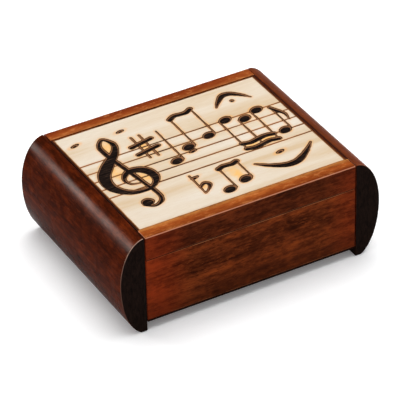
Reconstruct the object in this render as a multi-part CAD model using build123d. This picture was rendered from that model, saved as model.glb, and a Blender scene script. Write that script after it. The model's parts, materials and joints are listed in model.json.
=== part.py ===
from build123d import *
import os
from math import asin, cos, degrees, pi, radians, sin, sqrt, tan

# A wooden puzzle music box, in millimetres. The origin lies on the surface it stands on, under its middle.
# +X runs along the front to the right, -Y faces the front and +Z is up.

# Whole box
BOX_LENGTH = 160.0
BOX_DEPTH = 115.6
BOX_HEIGHT = 60.0
SEAM_HEIGHT = 45.3
FOOT_GAP = 5.6

# End pieces, which slide on dovetail runners
END_THICKNESS = 15.1
BELLY_HEIGHT = 32.0
FOOT_WIDTH = 3.7
END_ARRIS = 0.8
SLIDE_GAP = 0.25
SLIDE_TRAVEL = 24.0
RUNNER_LENGTH = 60.0
RUNNER_HEIGHT = 24.0
RUNNER_NECK = 8.0
RUNNER_BACK = 11.0
RUNNER_DEPTH = 5.0
RUNNER_GAP = 0.2
PLUG_LENGTH = 15.0
RUNNER_SCREW_INSET = 12.0
RUNNER_SCREW_BITE = 4.9

# Case
FRONT_WALL = 8.0
BACK_WALL = 8.0
SIDE_WALL = 7.0
CASE_ARRIS = 0.9
BOTTOM_EDGE = 1.4
BOTTOM_THICKNESS = 4.0
DIVIDER = 4.0
FELT = 1.2

# Lid
LID_GAP = 0.4
FRONT_STRIP = 8.4
BACK_STRIP = 8.0
SIDE_LIP = 1.0
PANEL_LEDGE = 4.0
PANEL_THICKNESS = 4.5
PANEL_DROP = 0.45
LID_LINING = 2.0
LID_ARRIS = 1.0
LID_OPEN_ANGLE = 95.0

# Hinges
HINGE_SPACING = 76.0
HINGE_INSET = 2.5
HINGE_LEAF_LENGTH = 16.0
HINGE_LEAF_WIDTH = 5.5
HINGE_LEAF_THICKNESS = 0.8
KNUCKLE_RADIUS = 1.6
KNUCKLE_GAP = 0.15
HINGE_PIN_RADIUS = 0.7
SEAM_EASE = 0.2

# Screws and running fits
SHAFT_GAP = 0.05
SCREW_HEAD = 1.5
SCREW_SHANK = 0.75
SCREW_LENGTH = 5.0

# Lock, strike and key
LOCK_INSET = 8.8
LOCK_SCREW_INSET = 1.9
KEYHOLE_HEIGHT = 29.0
LOCK_WIDTH = 15.0
LOCK_DEPTH = 6.5
LOCK_BOTTOM = 23.0
LOCK_WALL = 0.8
LOCK_PLATE = 1.0
BOLT_THICKNESS = 2.0
BOLT_THROW = 4.0
BOLT_NOSE_HEIGHT = 2.4
STAPLE_DROP = 6.0
STAPLE_THICKNESS = 2.0
STAPLE_CROWN = 0.9
STAPLE_GAP = 0.6
STRIKE_SCREW_SPACING = 2.2
BOLT_END_GAP = 0.4
BOLT_SIDE_GAP = 0.3
BOLT_NOTCH = 2.0
KEYHOLE_RADIUS = 1.6
ESCUTCHEON = 0.6
KEY_LENGTH = 27.0
KEY_BOW_RADIUS = 4.0
KEY_THICKNESS = 1.6
KEY_BIT_LENGTH = 3.6
KEY_BIT_HEIGHT = 4.0
KEY_BIT_WARD = 0.8
KEY_BIT_LIFT = 1.0
KEY_ROOM = 2.0
POCKET_MARGIN = 3.0
POCKET_WIDTH = 10.0
POCKET_DEPTH = 3.2

# Musical movement
MOVE_LENGTH = 56.0
MOVE_DEPTH = 41.0
MOVE_MARGIN_X = 1.3
MOVE_MARGIN_Y = 3.0
MOVE_HEIGHT = 24.0
WINDOW_THICKNESS = 2.0
WINDOW_DROP = 0.8
WINDOW_HEADROOM = 1.5
BATTEN = 2.4
BOARD_THICKNESS = 5.0
BOARD_BORE_GAP = 0.6
BED_SCREW_INSET = 3.4
BED_THICKNESS = 3.0
RUNNING_GAP = 0.4
BEARING_HALF = 3.0
BARREL_X = 13.0
BARREL_Y = 27.0
BARREL_RADIUS = 11.0
BARREL_LIFT = 0.3
BARREL_WALL = 1.0
ARBOR_RADIUS = 1.6
BRIDGE_HALF_WIDTH = 3.2
BRIDGE_POST = 1.3
BRIDGE_GAP = 0.8
BRIDGE_ROOM = 2.0
SPRING_TURNS = 5
SPRING_THICKNESS = 0.5
SPRING_GAP = 0.4
SHAFT_RADIUS = 0.9
SHAFT_HEIGHT = 17.0
CROWN_TEETH = 30
CROWN_RADIUS = 9.0
CROWN_FACE = 1.6
PINION_TEETH = 10
WHEEL_TEETH = 28
WHEEL_RADIUS = 7.0
WHEEL_FACE = 1.5
SMALL_PINION_TEETH = 8
WORM_WHEEL_TEETH = 16
WORM_WHEEL_RADIUS = 4.0
WORM_RADIUS = 1.35
WORM_STARTS = 2
WORM_LENGTH = 6.4
GEAR_SLACK = 0.15

# Shape of a tooth: half widths as shares of the pitch, heights as shares of the module
TOOTH_FOOT = 0.30
TOOTH_TIP = 0.13
ADDENDUM = 0.9
DEDENDUM = 1.2
WORM_ADDENDUM = 0.8
WORM_DEDENDUM = 0.95
CROWN_DEDENDUM = 1.1

# Train, cylinder and comb
TRAIN_ANGLE = 40.0
DRUM_LENGTH = 16.8
DRUM_RADIUS = 6.5
PIN_HEIGHT = 0.8
PIN_RADIUS = 0.28
PIN_ROOT = 0.5
NOTES_PER_TRACK = 4
COMB_TEETH = 18
COMB_THICKNESS = 1.2
COMB_SLOT = 0.28
COMB_TIP_GAP = 0.2
COMB_LONGEST = 12.5
COMB_SHORTEST = 8.0
COMB_INSET = 1.0
COMB_SCREW_INSET = 2.2
PLATE = 1.0
FLY_RADIUS = 3.3
FLY_HEIGHT = 5.5
FLY_THICKNESS = 0.5
FLY_SHAFT_RADIUS = 0.6
FLY_SLEEVE = 0.6
FLY_ARM_HALF = 1.5
FLY_BRAKE_GAP = 0.3
ROD_RADIUS = 0.8
ROD_CLEARANCE = 1.6
ROD_GUIDE_HALF = 2.0
ROD_FINGER = 1.0
ROD_TOP_GAP = 0.1
PAD_THICKNESS = 2.0
PAD_HALF = 4.0
WELL_WIDTH = 26.0
WELL_LENGTH = 32.0
WING_RADIUS = 9.0
WING_HEIGHT = 8.0
WING_THICKNESS = 1.4
WING_FLOOR_GAP = 2.4
WING_LOBE = 5.6
WING_SLEEVE = 1.2

# Places that follow from the sizes above
side_x = BOX_LENGTH / 2 - END_THICKNESS
case_x = side_x - SLIDE_GAP
lid_x = side_x - LID_GAP
inner_x = case_x - SIDE_WALL
front_y = -BOX_DEPTH / 2
back_y = BOX_DEPTH / 2
inner_front_y = front_y + FRONT_WALL
inner_back_y = back_y - BACK_WALL
wall_z = FOOT_GAP + BOTTOM_EDGE
floor_z = FOOT_GAP + BOTTOM_THICKNESS
panel_top_z = BOX_HEIGHT - PANEL_DROP
panel_z = panel_top_z - PANEL_THICKNESS
lining_z = panel_z - LID_LINING
rail_front_y = front_y + FRONT_STRIP
rail_back_y = back_y - BACK_STRIP
hinge_y = back_y - HINGE_INSET
bevel_angle = LID_OPEN_ANGLE / 2
window_top_z = SEAM_HEIGHT - WINDOW_DROP
window_z = window_top_z - WINDOW_THICKNESS
bed_z = window_z - WINDOW_HEADROOM - MOVE_HEIGHT
board_z = bed_z - BOARD_THICKNESS
move_x = -inner_x + MOVE_MARGIN_X
move_y = inner_back_y - MOVE_MARGIN_Y - MOVE_DEPTH
divider_x = move_x + MOVE_LENGTH + MOVE_MARGIN_X
divider_y = move_y - MOVE_MARGIN_Y - DIVIDER
hinge_places = [-HINGE_SPACING / 2, HINGE_SPACING / 2]

nodes = {}


def block(x0, x1, y0, y1, z0, z1):
    """A box between two corners."""
    return Pos((x0 + x1) / 2, (y0 + y1) / 2, (z0 + z1) / 2) * Box(x1 - x0, y1 - y0, z1 - z0)


def rod_x(y, z, x0, x1, radius):
    """A round bar along X."""
    return Pos((x0 + x1) / 2, y, z) * Rot(0, 90, 0) * Cylinder(radius, x1 - x0)


def rod_z(x, y, z0, z1, radius):
    """A round bar along Z."""
    return Pos(x, y, (z0 + z1) / 2) * Cylinder(radius, z1 - z0)


def prism_x(points, x0, x1):
    """An outline of (y, z) points, carried along X."""
    face = make_face(Polyline(*points, close=True))
    return extrude(Plane.YZ.offset(x0) * face, amount=x1 - x0)


def prism_y(points, y0, y1):
    """An outline of (x, z) points, carried along Y."""
    face = make_face(Polyline(*points, close=True))
    return extrude(Plane.XZ.offset(-y1) * face, amount=y1 - y0)


def screw_shape(length=SCREW_LENGTH):
    """A countersunk screw, its head's flat face at the origin and its shank along -Z."""
    cone = SCREW_HEAD - SCREW_SHANK
    outline = Polyline(
        (0, 0), (SCREW_HEAD, 0), (SCREW_SHANK, -cone), (SCREW_SHANK, -length), (0, -length), close=True
    )
    return revolve(Plane.XZ * make_face(outline), Axis.Z)


def screws(places, length=SCREW_LENGTH):
    """Slotted screws at several places, as one group of separate solids."""
    slot = Pos(0, 0, -SCREW_SHANK / 4) * Box(SCREW_HEAD * 3, SCREW_SHANK / 2, SCREW_SHANK / 2)
    return Compound([(place * (screw_shape(length) - slot)).solid() for place in places])


def drilled(part, places, length=SCREW_LENGTH):
    """The part with a countersunk hole for a screw at each place."""
    for place in places:
        part -= place * screw_shape(length)
    return part


# Ways that a fastener's head can face
faces_right = Rot(0, 90, 0)
faces_left = Rot(0, -90, 0)
faces_down = Rot(180, 0, 0)


def end_outline():
    """The D shape of an end piece: x is the distance out from its inner face, y is the height."""
    lower_height = BELLY_HEIGHT / sqrt(1 - (FOOT_WIDTH / END_THICKNESS) ** 2)
    foot_angle = -degrees(asin(BELLY_HEIGHT / lower_height))
    centre = (0, BELLY_HEIGHT)
    upper = EllipticalCenterArc(centre, END_THICKNESS, BOX_HEIGHT - BELLY_HEIGHT, 0, arc_size=90)
    lower = EllipticalCenterArc(centre, END_THICKNESS, lower_height, foot_angle, arc_size=-foot_angle)
    inner = Line((0, BOX_HEIGHT), (0, 0))
    foot = Line((0, 0), lower @ 0)
    return make_face([upper, inner, foot, lower])


def dovetail(y0, y1, gap, from_x):
    """A dovetail bar on the right side, wider by a gap all round, from a given x outward."""
    neck = RUNNER_NECK / 2 + gap
    back = RUNNER_BACK / 2 + gap
    out_x = side_x + RUNNER_DEPTH + gap
    points = [
        (from_x, RUNNER_HEIGHT - neck),
        (side_x, RUNNER_HEIGHT - neck),
        (out_x, RUNNER_HEIGHT - back),
        (out_x, RUNNER_HEIGHT + back),
        (side_x, RUNNER_HEIGHT + neck),
        (from_x, RUNNER_HEIGHT + neck),
    ]
    return prism_y(points, y0, y1)


# End pieces: a groove open at the rear takes the runner, and a glued plug closes it
plug_y = back_y - PLUG_LENGTH
groove_y = plug_y - SLIDE_TRAVEL - RUNNER_LENGTH - 2 * RUNNER_GAP
end_piece = extrude(Plane.XZ.offset(-back_y) * Pos(side_x, 0) * end_outline(), amount=BOX_DEPTH)
inner_edges = end_piece.edges().filter_by(Axis.Y).sort_by(Axis.Z)[-1:]
end_piece = fillet(inner_edges, END_ARRIS)
groove = dovetail(groove_y, back_y + END_ARRIS, RUNNER_GAP, side_x - END_ARRIS)
end_piece -= groove
plug = groove & block(side_x, BOX_LENGTH / 2, plug_y, back_y, 0, BOX_HEIGHT)
nodes["right_end_piece"] = end_piece
nodes["right_end_plug"] = plug
nodes["left_end_piece"] = mirror(end_piece, Plane.YZ)
nodes["left_end_plug"] = mirror(plug, Plane.YZ)

# Runners on the case: the left piece slides forward and the right one backward
right_runner_y = plug_y - RUNNER_GAP - RUNNER_LENGTH
left_runner_y = right_runner_y - SLIDE_TRAVEL


def runner(y0):
    """The dovetail runner for the right side, starting at y0, and the places of its screws."""
    bar = dovetail(y0, y0 + RUNNER_LENGTH, 0, case_x)
    places = [
        Pos(side_x + RUNNER_DEPTH, y, RUNNER_HEIGHT) * faces_right
        for y in (y0 + RUNNER_SCREW_INSET, y0 + RUNNER_LENGTH - RUNNER_SCREW_INSET)
    ]
    return bar, places


def mirrored(places):
    """The same places on the left side."""
    return [Pos(-p.position.X, p.position.Y, p.position.Z) * faces_left for p in places]


runner_screw_length = RUNNER_DEPTH + SLIDE_GAP + RUNNER_SCREW_BITE
right_bar, right_places = runner(right_runner_y)
left_bar, left_places = runner(left_runner_y)
left_places = mirrored(left_places)
nodes["right_runner"] = drilled(right_bar, right_places, runner_screw_length)
nodes["left_runner"] = drilled(mirror(left_bar, Plane.YZ), left_places, runner_screw_length)
nodes["runner_screws"] = screws(right_places + left_places, runner_screw_length)

# Side walls, between the front and back panels
lock_top = SEAM_HEIGHT - SEAM_EASE
right_wall = block(inner_x, case_x, inner_front_y, inner_back_y, wall_z, SEAM_HEIGHT)
left_wall = block(-case_x, -inner_x, inner_front_y, inner_back_y, wall_z, SEAM_HEIGHT)
right_wall = drilled(right_wall, right_places, runner_screw_length)
left_wall = drilled(left_wall, left_places, runner_screw_length)

# Hidden key pocket in the left wall, behind the end piece
pocket_y = inner_back_y - POCKET_WIDTH / 2 - POCKET_MARGIN
pocket_z = wall_z + POCKET_MARGIN
pocket_height = KEY_LENGTH + KEY_ROOM
pocket = block(
    -case_x - 1, -case_x + POCKET_DEPTH, pocket_y - POCKET_WIDTH / 2, pocket_y + POCKET_WIDTH / 2,
    pocket_z, pocket_z + pocket_height,
)
left_wall -= pocket
nodes["left_wall"] = left_wall

# The key, standing in its pocket: a ring for the fingers, a shank and a bit
key_x = -case_x + POCKET_DEPTH - KEY_THICKNESS / 2
bow_z = pocket_z + KEY_LENGTH - KEY_BOW_RADIUS
key = Pos(key_x, pocket_y, bow_z) * Rot(0, 90, 0) * (
    Cylinder(KEY_BOW_RADIUS, KEY_THICKNESS) - Cylinder(KEY_BOW_RADIUS * 0.6, KEY_THICKNESS)
)
key += rod_z(key_x, pocket_y, pocket_z, bow_z - KEY_BOW_RADIUS * 0.8, KEY_THICKNESS / 2)
collar = rod_z(key_x, pocket_y, bow_z - KEY_BOW_RADIUS * 1.7, bow_z - KEY_BOW_RADIUS * 1.4, KEY_THICKNESS)
key += collar & block(
    key_x - KEY_THICKNESS / 2, key_x + KEY_THICKNESS / 2, pocket_y - KEY_THICKNESS, pocket_y + KEY_THICKNESS,
    pocket_z, bow_z,
)
bit_z = pocket_z + KEY_BIT_LIFT
bit_middle = bit_z + KEY_BIT_HEIGHT / 2
bit_end = pocket_y + KEY_BIT_LENGTH
bit = block(
    key_x - KEY_THICKNESS / 4, key_x + KEY_THICKNESS / 4, pocket_y, bit_end, bit_z, bit_z + KEY_BIT_HEIGHT
)
bit -= block(
    key_x - KEY_THICKNESS, key_x + KEY_THICKNESS, bit_end - 2 * KEY_BIT_WARD, bit_end,
    bit_middle - KEY_BIT_WARD / 2, bit_middle + KEY_BIT_WARD / 2,
)
nodes["hidden_key"] = key + bit

# Keyhole through the right wall, at the lock's middle, with a brass plate let into its outer face
lock_y = inner_front_y + LOCK_INSET
keyhole = rod_x(lock_y, KEYHOLE_HEIGHT, inner_x - 1, case_x + 1, KEYHOLE_RADIUS)
keyhole += block(
    inner_x - 1, case_x + 1, lock_y - KEYHOLE_RADIUS / 2, lock_y + KEYHOLE_RADIUS / 2,
    KEYHOLE_HEIGHT - KEYHOLE_RADIUS * 3, KEYHOLE_HEIGHT,
)
plate_outline = Plane.YZ.offset(case_x - ESCUTCHEON) * Pos(lock_y, KEYHOLE_HEIGHT - KEYHOLE_RADIUS) * Ellipse(
    KEYHOLE_RADIUS * 2.6, KEYHOLE_RADIUS * 4
)
escutcheon = extrude(plate_outline, amount=ESCUTCHEON)
right_wall -= keyhole
right_wall -= escutcheon
nodes["keyhole_plate"] = escutcheon - keyhole

# Lock on the inner face of the right wall: back plate, cover and sliding bolt
plate_x = inner_x - LOCK_PLATE
cover_x = plate_x - LOCK_DEPTH
lock_y0 = lock_y - LOCK_WIDTH / 2
lock_y1 = lock_y + LOCK_WIDTH / 2
lock_screw_places = [
    Pos(plate_x, y, z) * faces_left
    for y in (lock_y0 + LOCK_SCREW_INSET, lock_y1 - LOCK_SCREW_INSET)
    for z in (LOCK_BOTTOM - LOCK_SCREW_INSET, lock_top - LOCK_SCREW_INSET)
]
lock_plate_bottom = LOCK_BOTTOM - 2 * LOCK_SCREW_INSET
lock_plate = block(plate_x, inner_x, lock_y0, lock_y1, lock_plate_bottom, lock_top)
lock_plate = drilled(lock_plate - keyhole, lock_screw_places)
right_wall = drilled(right_wall, lock_screw_places)
nodes["right_wall"] = right_wall
nodes["lock_back_plate"] = lock_plate
nodes["lock_screws"] = screws(lock_screw_places)

cover_top = lock_top - 2 * LOCK_SCREW_INSET
cover = block(cover_x, plate_x, lock_y0, lock_y1, LOCK_BOTTOM, cover_top)
cover -= block(
    cover_x + LOCK_WALL, plate_x, lock_y0 + LOCK_WALL, lock_y1 - LOCK_WALL, LOCK_BOTTOM + LOCK_WALL,
    cover_top - LOCK_WALL,
)
bolt_x = cover_x + LOCK_WALL + BOLT_THICKNESS / 2 + SHAFT_GAP
staple_z = SEAM_HEIGHT - STAPLE_DROP
staple_half = BOLT_THICKNESS / 2 + STAPLE_CROWN
staple_y = lock_y + STAPLE_THICKNESS
mouth = block(
    cover_x - 1, bolt_x + staple_half + STAPLE_GAP, staple_y - STAPLE_THICKNESS / 2 - STAPLE_GAP,
    staple_y + STAPLE_THICKNESS / 2 + STAPLE_GAP, staple_z - STAPLE_GAP, cover_top + 1,
)
cover -= mouth
key_post = rod_x(lock_y, KEYHOLE_HEIGHT, cover_x + LOCK_WALL, plate_x, SCREW_SHANK)
nodes["lock_cover"] = cover + key_post

# Bolt: a nose that enters the staple, on a plate notched for the key's bit
nose_z = staple_z + STAPLE_CROWN
nose_end = staple_y - STAPLE_THICKNESS / 2 - STAPLE_GAP
bolt_y0 = lock_y0 + LOCK_WALL + BOLT_END_GAP
bolt_x0 = bolt_x - BOLT_THICKNESS / 2
bolt_x1 = bolt_x + BOLT_THICKNESS / 2
tail_z = KEYHOLE_HEIGHT + KEYHOLE_RADIUS
tail_end = lock_y1 - LOCK_WALL - BOLT_THROW - BOLT_END_GAP
bolt = block(bolt_x0, bolt_x1, bolt_y0, nose_end, nose_z - BOLT_NOSE_HEIGHT, nose_z)
bolt += block(bolt_x0, bolt_x1, bolt_y0, bolt_y0 + BOLT_NOSE_HEIGHT, tail_z, nose_z)
bolt += block(bolt_x0, bolt_x1, bolt_y0, tail_end, tail_z, tail_z + 2 * BOLT_NOSE_HEIGHT)
bolt -= block(
    bolt_x0 - 1, bolt_x1 + 1, lock_y - BOLT_NOTCH, lock_y, tail_z - 1, tail_z + BOLT_NOSE_HEIGHT / 2
)
nodes["lock_bolt"] = bolt

# Bottom board, rebated so that its lower edge shows under the walls, with a well for the winding key
arbor_x = move_x + BARREL_X
arbor_y = move_y + BARREL_Y
bottom = block(-case_x, case_x, front_y, back_y, FOOT_GAP, wall_z)
bottom += block(-inner_x, inner_x, inner_front_y, inner_back_y, wall_z, floor_z)
well_outline = Pos(arbor_x, arbor_y) * RectangleRounded(WELL_WIDTH, WELL_LENGTH, WELL_WIDTH / 4)
well = extrude(Plane.XY.offset(FOOT_GAP) * well_outline, amount=BOTTOM_THICKNESS)
nodes["bottom_board"] = bottom - well

# Front panel, with rounded upright edges
front = block(-case_x, case_x, front_y, inner_front_y, wall_z, SEAM_HEIGHT)
front_uprights = front.edges().filter_by(Axis.Z).group_by(Axis.Y)[0]
nodes["front_panel"] = fillet(front_uprights, CASE_ARRIS)

# The back panel and the lid's back rail are bevelled to meet when the lid is fully open
bevel_run = HINGE_INSET + SEAM_EASE
bevel_rise = bevel_run * tan(radians(bevel_angle))
bevel_y = hinge_y - SEAM_EASE
lower_bevel = prism_x(
    [(bevel_y, SEAM_HEIGHT), (back_y, SEAM_HEIGHT - bevel_rise), (back_y, SEAM_HEIGHT)], -case_x, case_x
)
upper_bevel = prism_x(
    [(bevel_y, SEAM_HEIGHT), (back_y, SEAM_HEIGHT), (back_y, SEAM_HEIGHT + bevel_rise)], -case_x, case_x
)


def hinge_recess(side):
    """What both hinges need cut away: knuckles, and the leaves below (side -1) or above (side 1) the seam."""
    half = HINGE_LEAF_LENGTH / 2
    cut = []
    for x in hinge_places:
        knuckle_room = rod_x(hinge_y, SEAM_HEIGHT, x - half, x + half, KNUCKLE_RADIUS + KNUCKLE_GAP)
        z = [SEAM_HEIGHT, SEAM_HEIGHT + side * HINGE_LEAF_THICKNESS]
        cut.append(knuckle_room)
        cut.append(block(x - half, x + half, hinge_y - HINGE_LEAF_WIDTH, hinge_y, min(z), max(z)))
    return cut


def hinge_leaf(side, spans):
    """One leaf of each hinge with its knuckles, over the given spans of the leaf's length."""
    leaves = []
    half = HINGE_LEAF_LENGTH / 2
    z = [SEAM_HEIGHT, SEAM_HEIGHT + side * HINGE_LEAF_THICKNESS]
    reach = KNUCKLE_RADIUS + KNUCKLE_GAP
    for x in hinge_places:
        leaf = block(x - half, x + half, hinge_y - HINGE_LEAF_WIDTH, hinge_y - reach, min(z), max(z))
        for start, end in spans:
            x0 = x - half + start * HINGE_LEAF_LENGTH + KNUCKLE_GAP * (start > 0)
            x1 = x - half + end * HINGE_LEAF_LENGTH - KNUCKLE_GAP * (end < 1)
            leaf += block(x0, x1, hinge_y - reach, hinge_y, min(z), max(z))
            leaf += rod_x(hinge_y, SEAM_HEIGHT, x0, x1, KNUCKLE_RADIUS)
        bore = HINGE_PIN_RADIUS + (SHAFT_GAP if side > 0 else 0)
        leaf -= rod_x(hinge_y, SEAM_HEIGHT, x - half, x + half, bore)
        leaves.append(leaf)
    return leaves


screw_y = hinge_y - HINGE_LEAF_WIDTH + SCREW_HEAD + KNUCKLE_GAP * 2
hinge_screw_x = [x + s * HINGE_LEAF_LENGTH / 4 for x in hinge_places for s in (-1, 1)]
lower_hinge_screws = [Pos(x, screw_y, SEAM_HEIGHT) for x in hinge_screw_x]
upper_hinge_screws = [Pos(x, screw_y, SEAM_HEIGHT) * faces_down for x in hinge_screw_x]
lower_leaves = [drilled(leaf, lower_hinge_screws) for leaf in hinge_leaf(-1, [(0, 1 / 3), (2 / 3, 1)])]
upper_leaves = [drilled(leaf, upper_hinge_screws) for leaf in hinge_leaf(1, [(1 / 3, 2 / 3)])]
nodes["hinge_lower_leaves"] = Compound([leaf.solid() for leaf in lower_leaves])
nodes["hinge_upper_leaves"] = Compound([leaf.solid() for leaf in upper_leaves])
nodes["hinge_lower_screws"] = screws(lower_hinge_screws)
nodes["hinge_upper_screws"] = screws(upper_hinge_screws)
half_leaf = HINGE_LEAF_LENGTH / 2
hinge_pins = [
    rod_x(hinge_y, SEAM_HEIGHT, x - half_leaf, x + half_leaf, HINGE_PIN_RADIUS) for x in hinge_places
]
nodes["hinge_pins"] = Compound([pin.solid() for pin in hinge_pins])

back = block(-case_x, case_x, inner_back_y, back_y, wall_z, SEAM_HEIGHT) - lower_bevel
for cut in hinge_recess(-1):
    back -= cut
nodes["back_panel"] = drilled(back, lower_hinge_screws)

# Lid frame
rail_inner_front = rail_front_y + PANEL_LEDGE
rail_inner_back = rail_back_y - PANEL_LEDGE
front_rail = prism_x(
    [
        (front_y, SEAM_HEIGHT), (rail_inner_front, SEAM_HEIGHT), (rail_inner_front, panel_z),
        (rail_front_y, panel_z), (rail_front_y, BOX_HEIGHT), (front_y, BOX_HEIGHT),
    ],
    -lid_x, lid_x,
)
front_top_edge = front_rail.edges().filter_by(Axis.X).group_by(Axis.Z)[-1].sort_by(Axis.Y)[:1]
front_rail = fillet(front_top_edge, LID_ARRIS)
nodes["lid_front_rail"] = front_rail
back_rail = prism_x(
    [
        (rail_inner_back, SEAM_HEIGHT), (back_y, SEAM_HEIGHT), (back_y, BOX_HEIGHT),
        (rail_back_y, BOX_HEIGHT), (rail_back_y, panel_z), (rail_inner_back, panel_z),
    ],
    -lid_x, lid_x,
)
back_top_edge = back_rail.edges().filter_by(Axis.X).group_by(Axis.Z)[-1].sort_by(Axis.Y)[-1:]
back_rail = fillet(back_top_edge, LID_ARRIS) - upper_bevel
for cut in hinge_recess(1):
    back_rail -= cut
nodes["lid_back_rail"] = drilled(back_rail, upper_hinge_screws)


def side_rail(sign):
    """A side rail of the lid, with the thin lip that shows beside the panel."""
    rail_x = sorted([sign * inner_x, sign * lid_x])
    lip_x = sorted([sign * (lid_x - SIDE_LIP), sign * lid_x])
    rail = block(*rail_x, rail_inner_front, rail_inner_back, SEAM_HEIGHT, panel_z)
    return rail + block(*lip_x, rail_front_y, rail_back_y, panel_z, BOX_HEIGHT)


nodes["lid_left_rail"] = side_rail(-1)
nodes["lid_panel"] = block(
    -lid_x + SIDE_LIP, lid_x - SIDE_LIP, rail_front_y, rail_back_y, panel_z, panel_top_z
)
nodes["lid_lining"] = block(-inner_x, inner_x, rail_inner_front, rail_inner_back, lining_z, panel_z)

# Strike: a plate on the right rail carrying the staple that hangs into the lock
strike_plate_x = inner_x - LOCK_PLATE
strike_z = SEAM_HEIGHT + LOCK_PLATE
strike_top = lining_z - BOLT_SIDE_GAP
strike_half = STAPLE_THICKNESS + STRIKE_SCREW_SPACING
staple_screws = [
    Pos(strike_plate_x, y, (strike_z + LOCK_PLATE + strike_top) / 2) * faces_left
    for y in (staple_y - STRIKE_SCREW_SPACING, staple_y + STRIKE_SCREW_SPACING)
]
strike = block(strike_plate_x, inner_x, staple_y - strike_half, staple_y + strike_half, strike_z, strike_top)
strike += block(
    bolt_x - staple_half, strike_plate_x, staple_y - STAPLE_THICKNESS / 2, staple_y + STAPLE_THICKNESS / 2,
    strike_z, strike_z + LOCK_PLATE,
)
strike += block(
    bolt_x - staple_half, bolt_x + staple_half, staple_y - STAPLE_THICKNESS / 2,
    staple_y + STAPLE_THICKNESS / 2, staple_z, strike_z,
)
strike -= block(
    bolt_x0 - BOLT_SIDE_GAP, bolt_x1 + BOLT_SIDE_GAP,
    staple_y - STAPLE_THICKNESS, staple_y + STAPLE_THICKNESS,
    nose_z - BOLT_NOSE_HEIGHT - BOLT_SIDE_GAP, nose_z + BOLT_SIDE_GAP,
)
nodes["strike_staple"] = drilled(strike, staple_screws)
nodes["strike_screws"] = screws(staple_screws)
nodes["lid_right_rail"] = drilled(side_rail(1), staple_screws)

# Compartments: dividers, felt, the board that carries the movement, and its clear window
long_divider = block(divider_x, divider_x + DIVIDER, inner_front_y, inner_back_y, floor_z, window_top_z)
nodes["long_divider"] = long_divider
nodes["short_divider"] = block(-inner_x, divider_x, divider_y, divider_y + DIVIDER, floor_z, window_top_z)
nodes["keepsake_felt"] = block(
    divider_x + DIVIDER, inner_x, inner_front_y, inner_back_y, floor_z, floor_z + FELT
)
nodes["ring_felt"] = block(-inner_x, divider_x, inner_front_y, divider_y, floor_z, floor_z + FELT)
room_y0 = divider_y + DIVIDER
board_supports = [
    block(-inner_x, divider_x, y, y + BATTEN, floor_z, board_z) for y in (room_y0, inner_back_y - BATTEN)
]
nodes["board_supports"] = Compound([s.solid() for s in board_supports])
window_battens = [
    block(-inner_x, divider_x, y, y + BATTEN, window_z - BATTEN, window_z)
    for y in (room_y0, inner_back_y - BATTEN)
]
nodes["window_battens"] = Compound([s.solid() for s in window_battens])

bed_screw_length = BOARD_THICKNESS + BED_THICKNESS * 0.8
bed_screw_places = [
    Pos(move_x + x, move_y + y, board_z) * faces_down
    for x in (BED_SCREW_INSET, MOVE_LENGTH - BED_SCREW_INSET)
    for y in (BED_SCREW_INSET, MOVE_DEPTH - BED_SCREW_INSET)
]
board = block(-inner_x, divider_x, room_y0, inner_back_y, board_z, bed_z)
board -= rod_z(arbor_x, arbor_y, board_z, bed_z, ARBOR_RADIUS + BOARD_BORE_GAP)
nodes["movement_board"] = drilled(board, bed_screw_places, bed_screw_length)
nodes["movement_screws"] = screws(bed_screw_places, bed_screw_length)


def toothed_outline(teeth, root, tip):
    """An outline with straight-sided teeth, thinned for slack; one tooth points along +X."""
    pitch = 2 * pi / teeth
    corners = ((-TOOTH_FOOT, root), (-TOOTH_TIP, tip), (TOOTH_TIP, tip), (TOOTH_FOOT, root))
    points = []
    for i in range(teeth):
        for share, r in corners:
            angle = (i + share) * pitch
            points.append((r * cos(angle), r * sin(angle)))
    return make_face(Polyline(*points, close=True))


def gear_x(teeth, radius, module, x0, x1, turn):
    """A toothed wheel on an axis along X, turned so that a tooth lies at that angle from +Y."""
    outline = toothed_outline(teeth, radius - DEDENDUM * module, radius + ADDENDUM * module)
    wheel = extrude(outline, amount=x1 - x0)
    return Plane(origin=(x0, 0, 0), x_dir=(0, 1, 0), z_dir=(1, 0, 0)) * Rot(0, 0, turn) * wheel


# Movement: places of its shafts
crown_module = 2 * CROWN_RADIUS / CROWN_TEETH
pinion_radius = crown_module * PINION_TEETH / 2
wheel_module = 2 * WHEEL_RADIUS / WHEEL_TEETH
small_pinion_radius = wheel_module * SMALL_PINION_TEETH / 2
worm_module = 2 * WORM_WHEEL_RADIUS / WORM_WHEEL_TEETH
shaft_z = bed_z + SHAFT_HEIGHT
drum_y = arbor_y
crown_x = arbor_x + CROWN_RADIUS
crown_root_z = shaft_z - pinion_radius - CROWN_DEDENDUM * crown_module
barrel_z = bed_z + BED_THICKNESS + BARREL_LIFT
post_x = arbor_x + BARREL_RADIUS + RUNNING_GAP
drum_x = post_x + PLATE + RUNNING_GAP + SHAFT_RADIUS
drum_end = drum_x + DRUM_LENGTH
wheel_x = drum_end + RUNNING_GAP
wheel_end = wheel_x + WHEEL_FACE
plate_a_x = wheel_end + 2 * RUNNING_GAP
train_gap = WHEEL_RADIUS + small_pinion_radius + GEAR_SLACK
train_y = drum_y - train_gap * cos(radians(TRAIN_ANGLE))
train_z = shaft_z - train_gap * sin(radians(TRAIN_ANGLE))
plate_b_x = move_x + MOVE_LENGTH - PLATE - FLY_SHAFT_RADIUS
worm_x = (plate_a_x + PLATE + plate_b_x) / 2
worm_y = train_y - WORM_WHEEL_RADIUS - WORM_RADIUS - GEAR_SLACK
fly_z = train_z + WORM_LENGTH / 2 + PLATE
fly_arm_z = bed_z + MOVE_HEIGHT - PLATE

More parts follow.
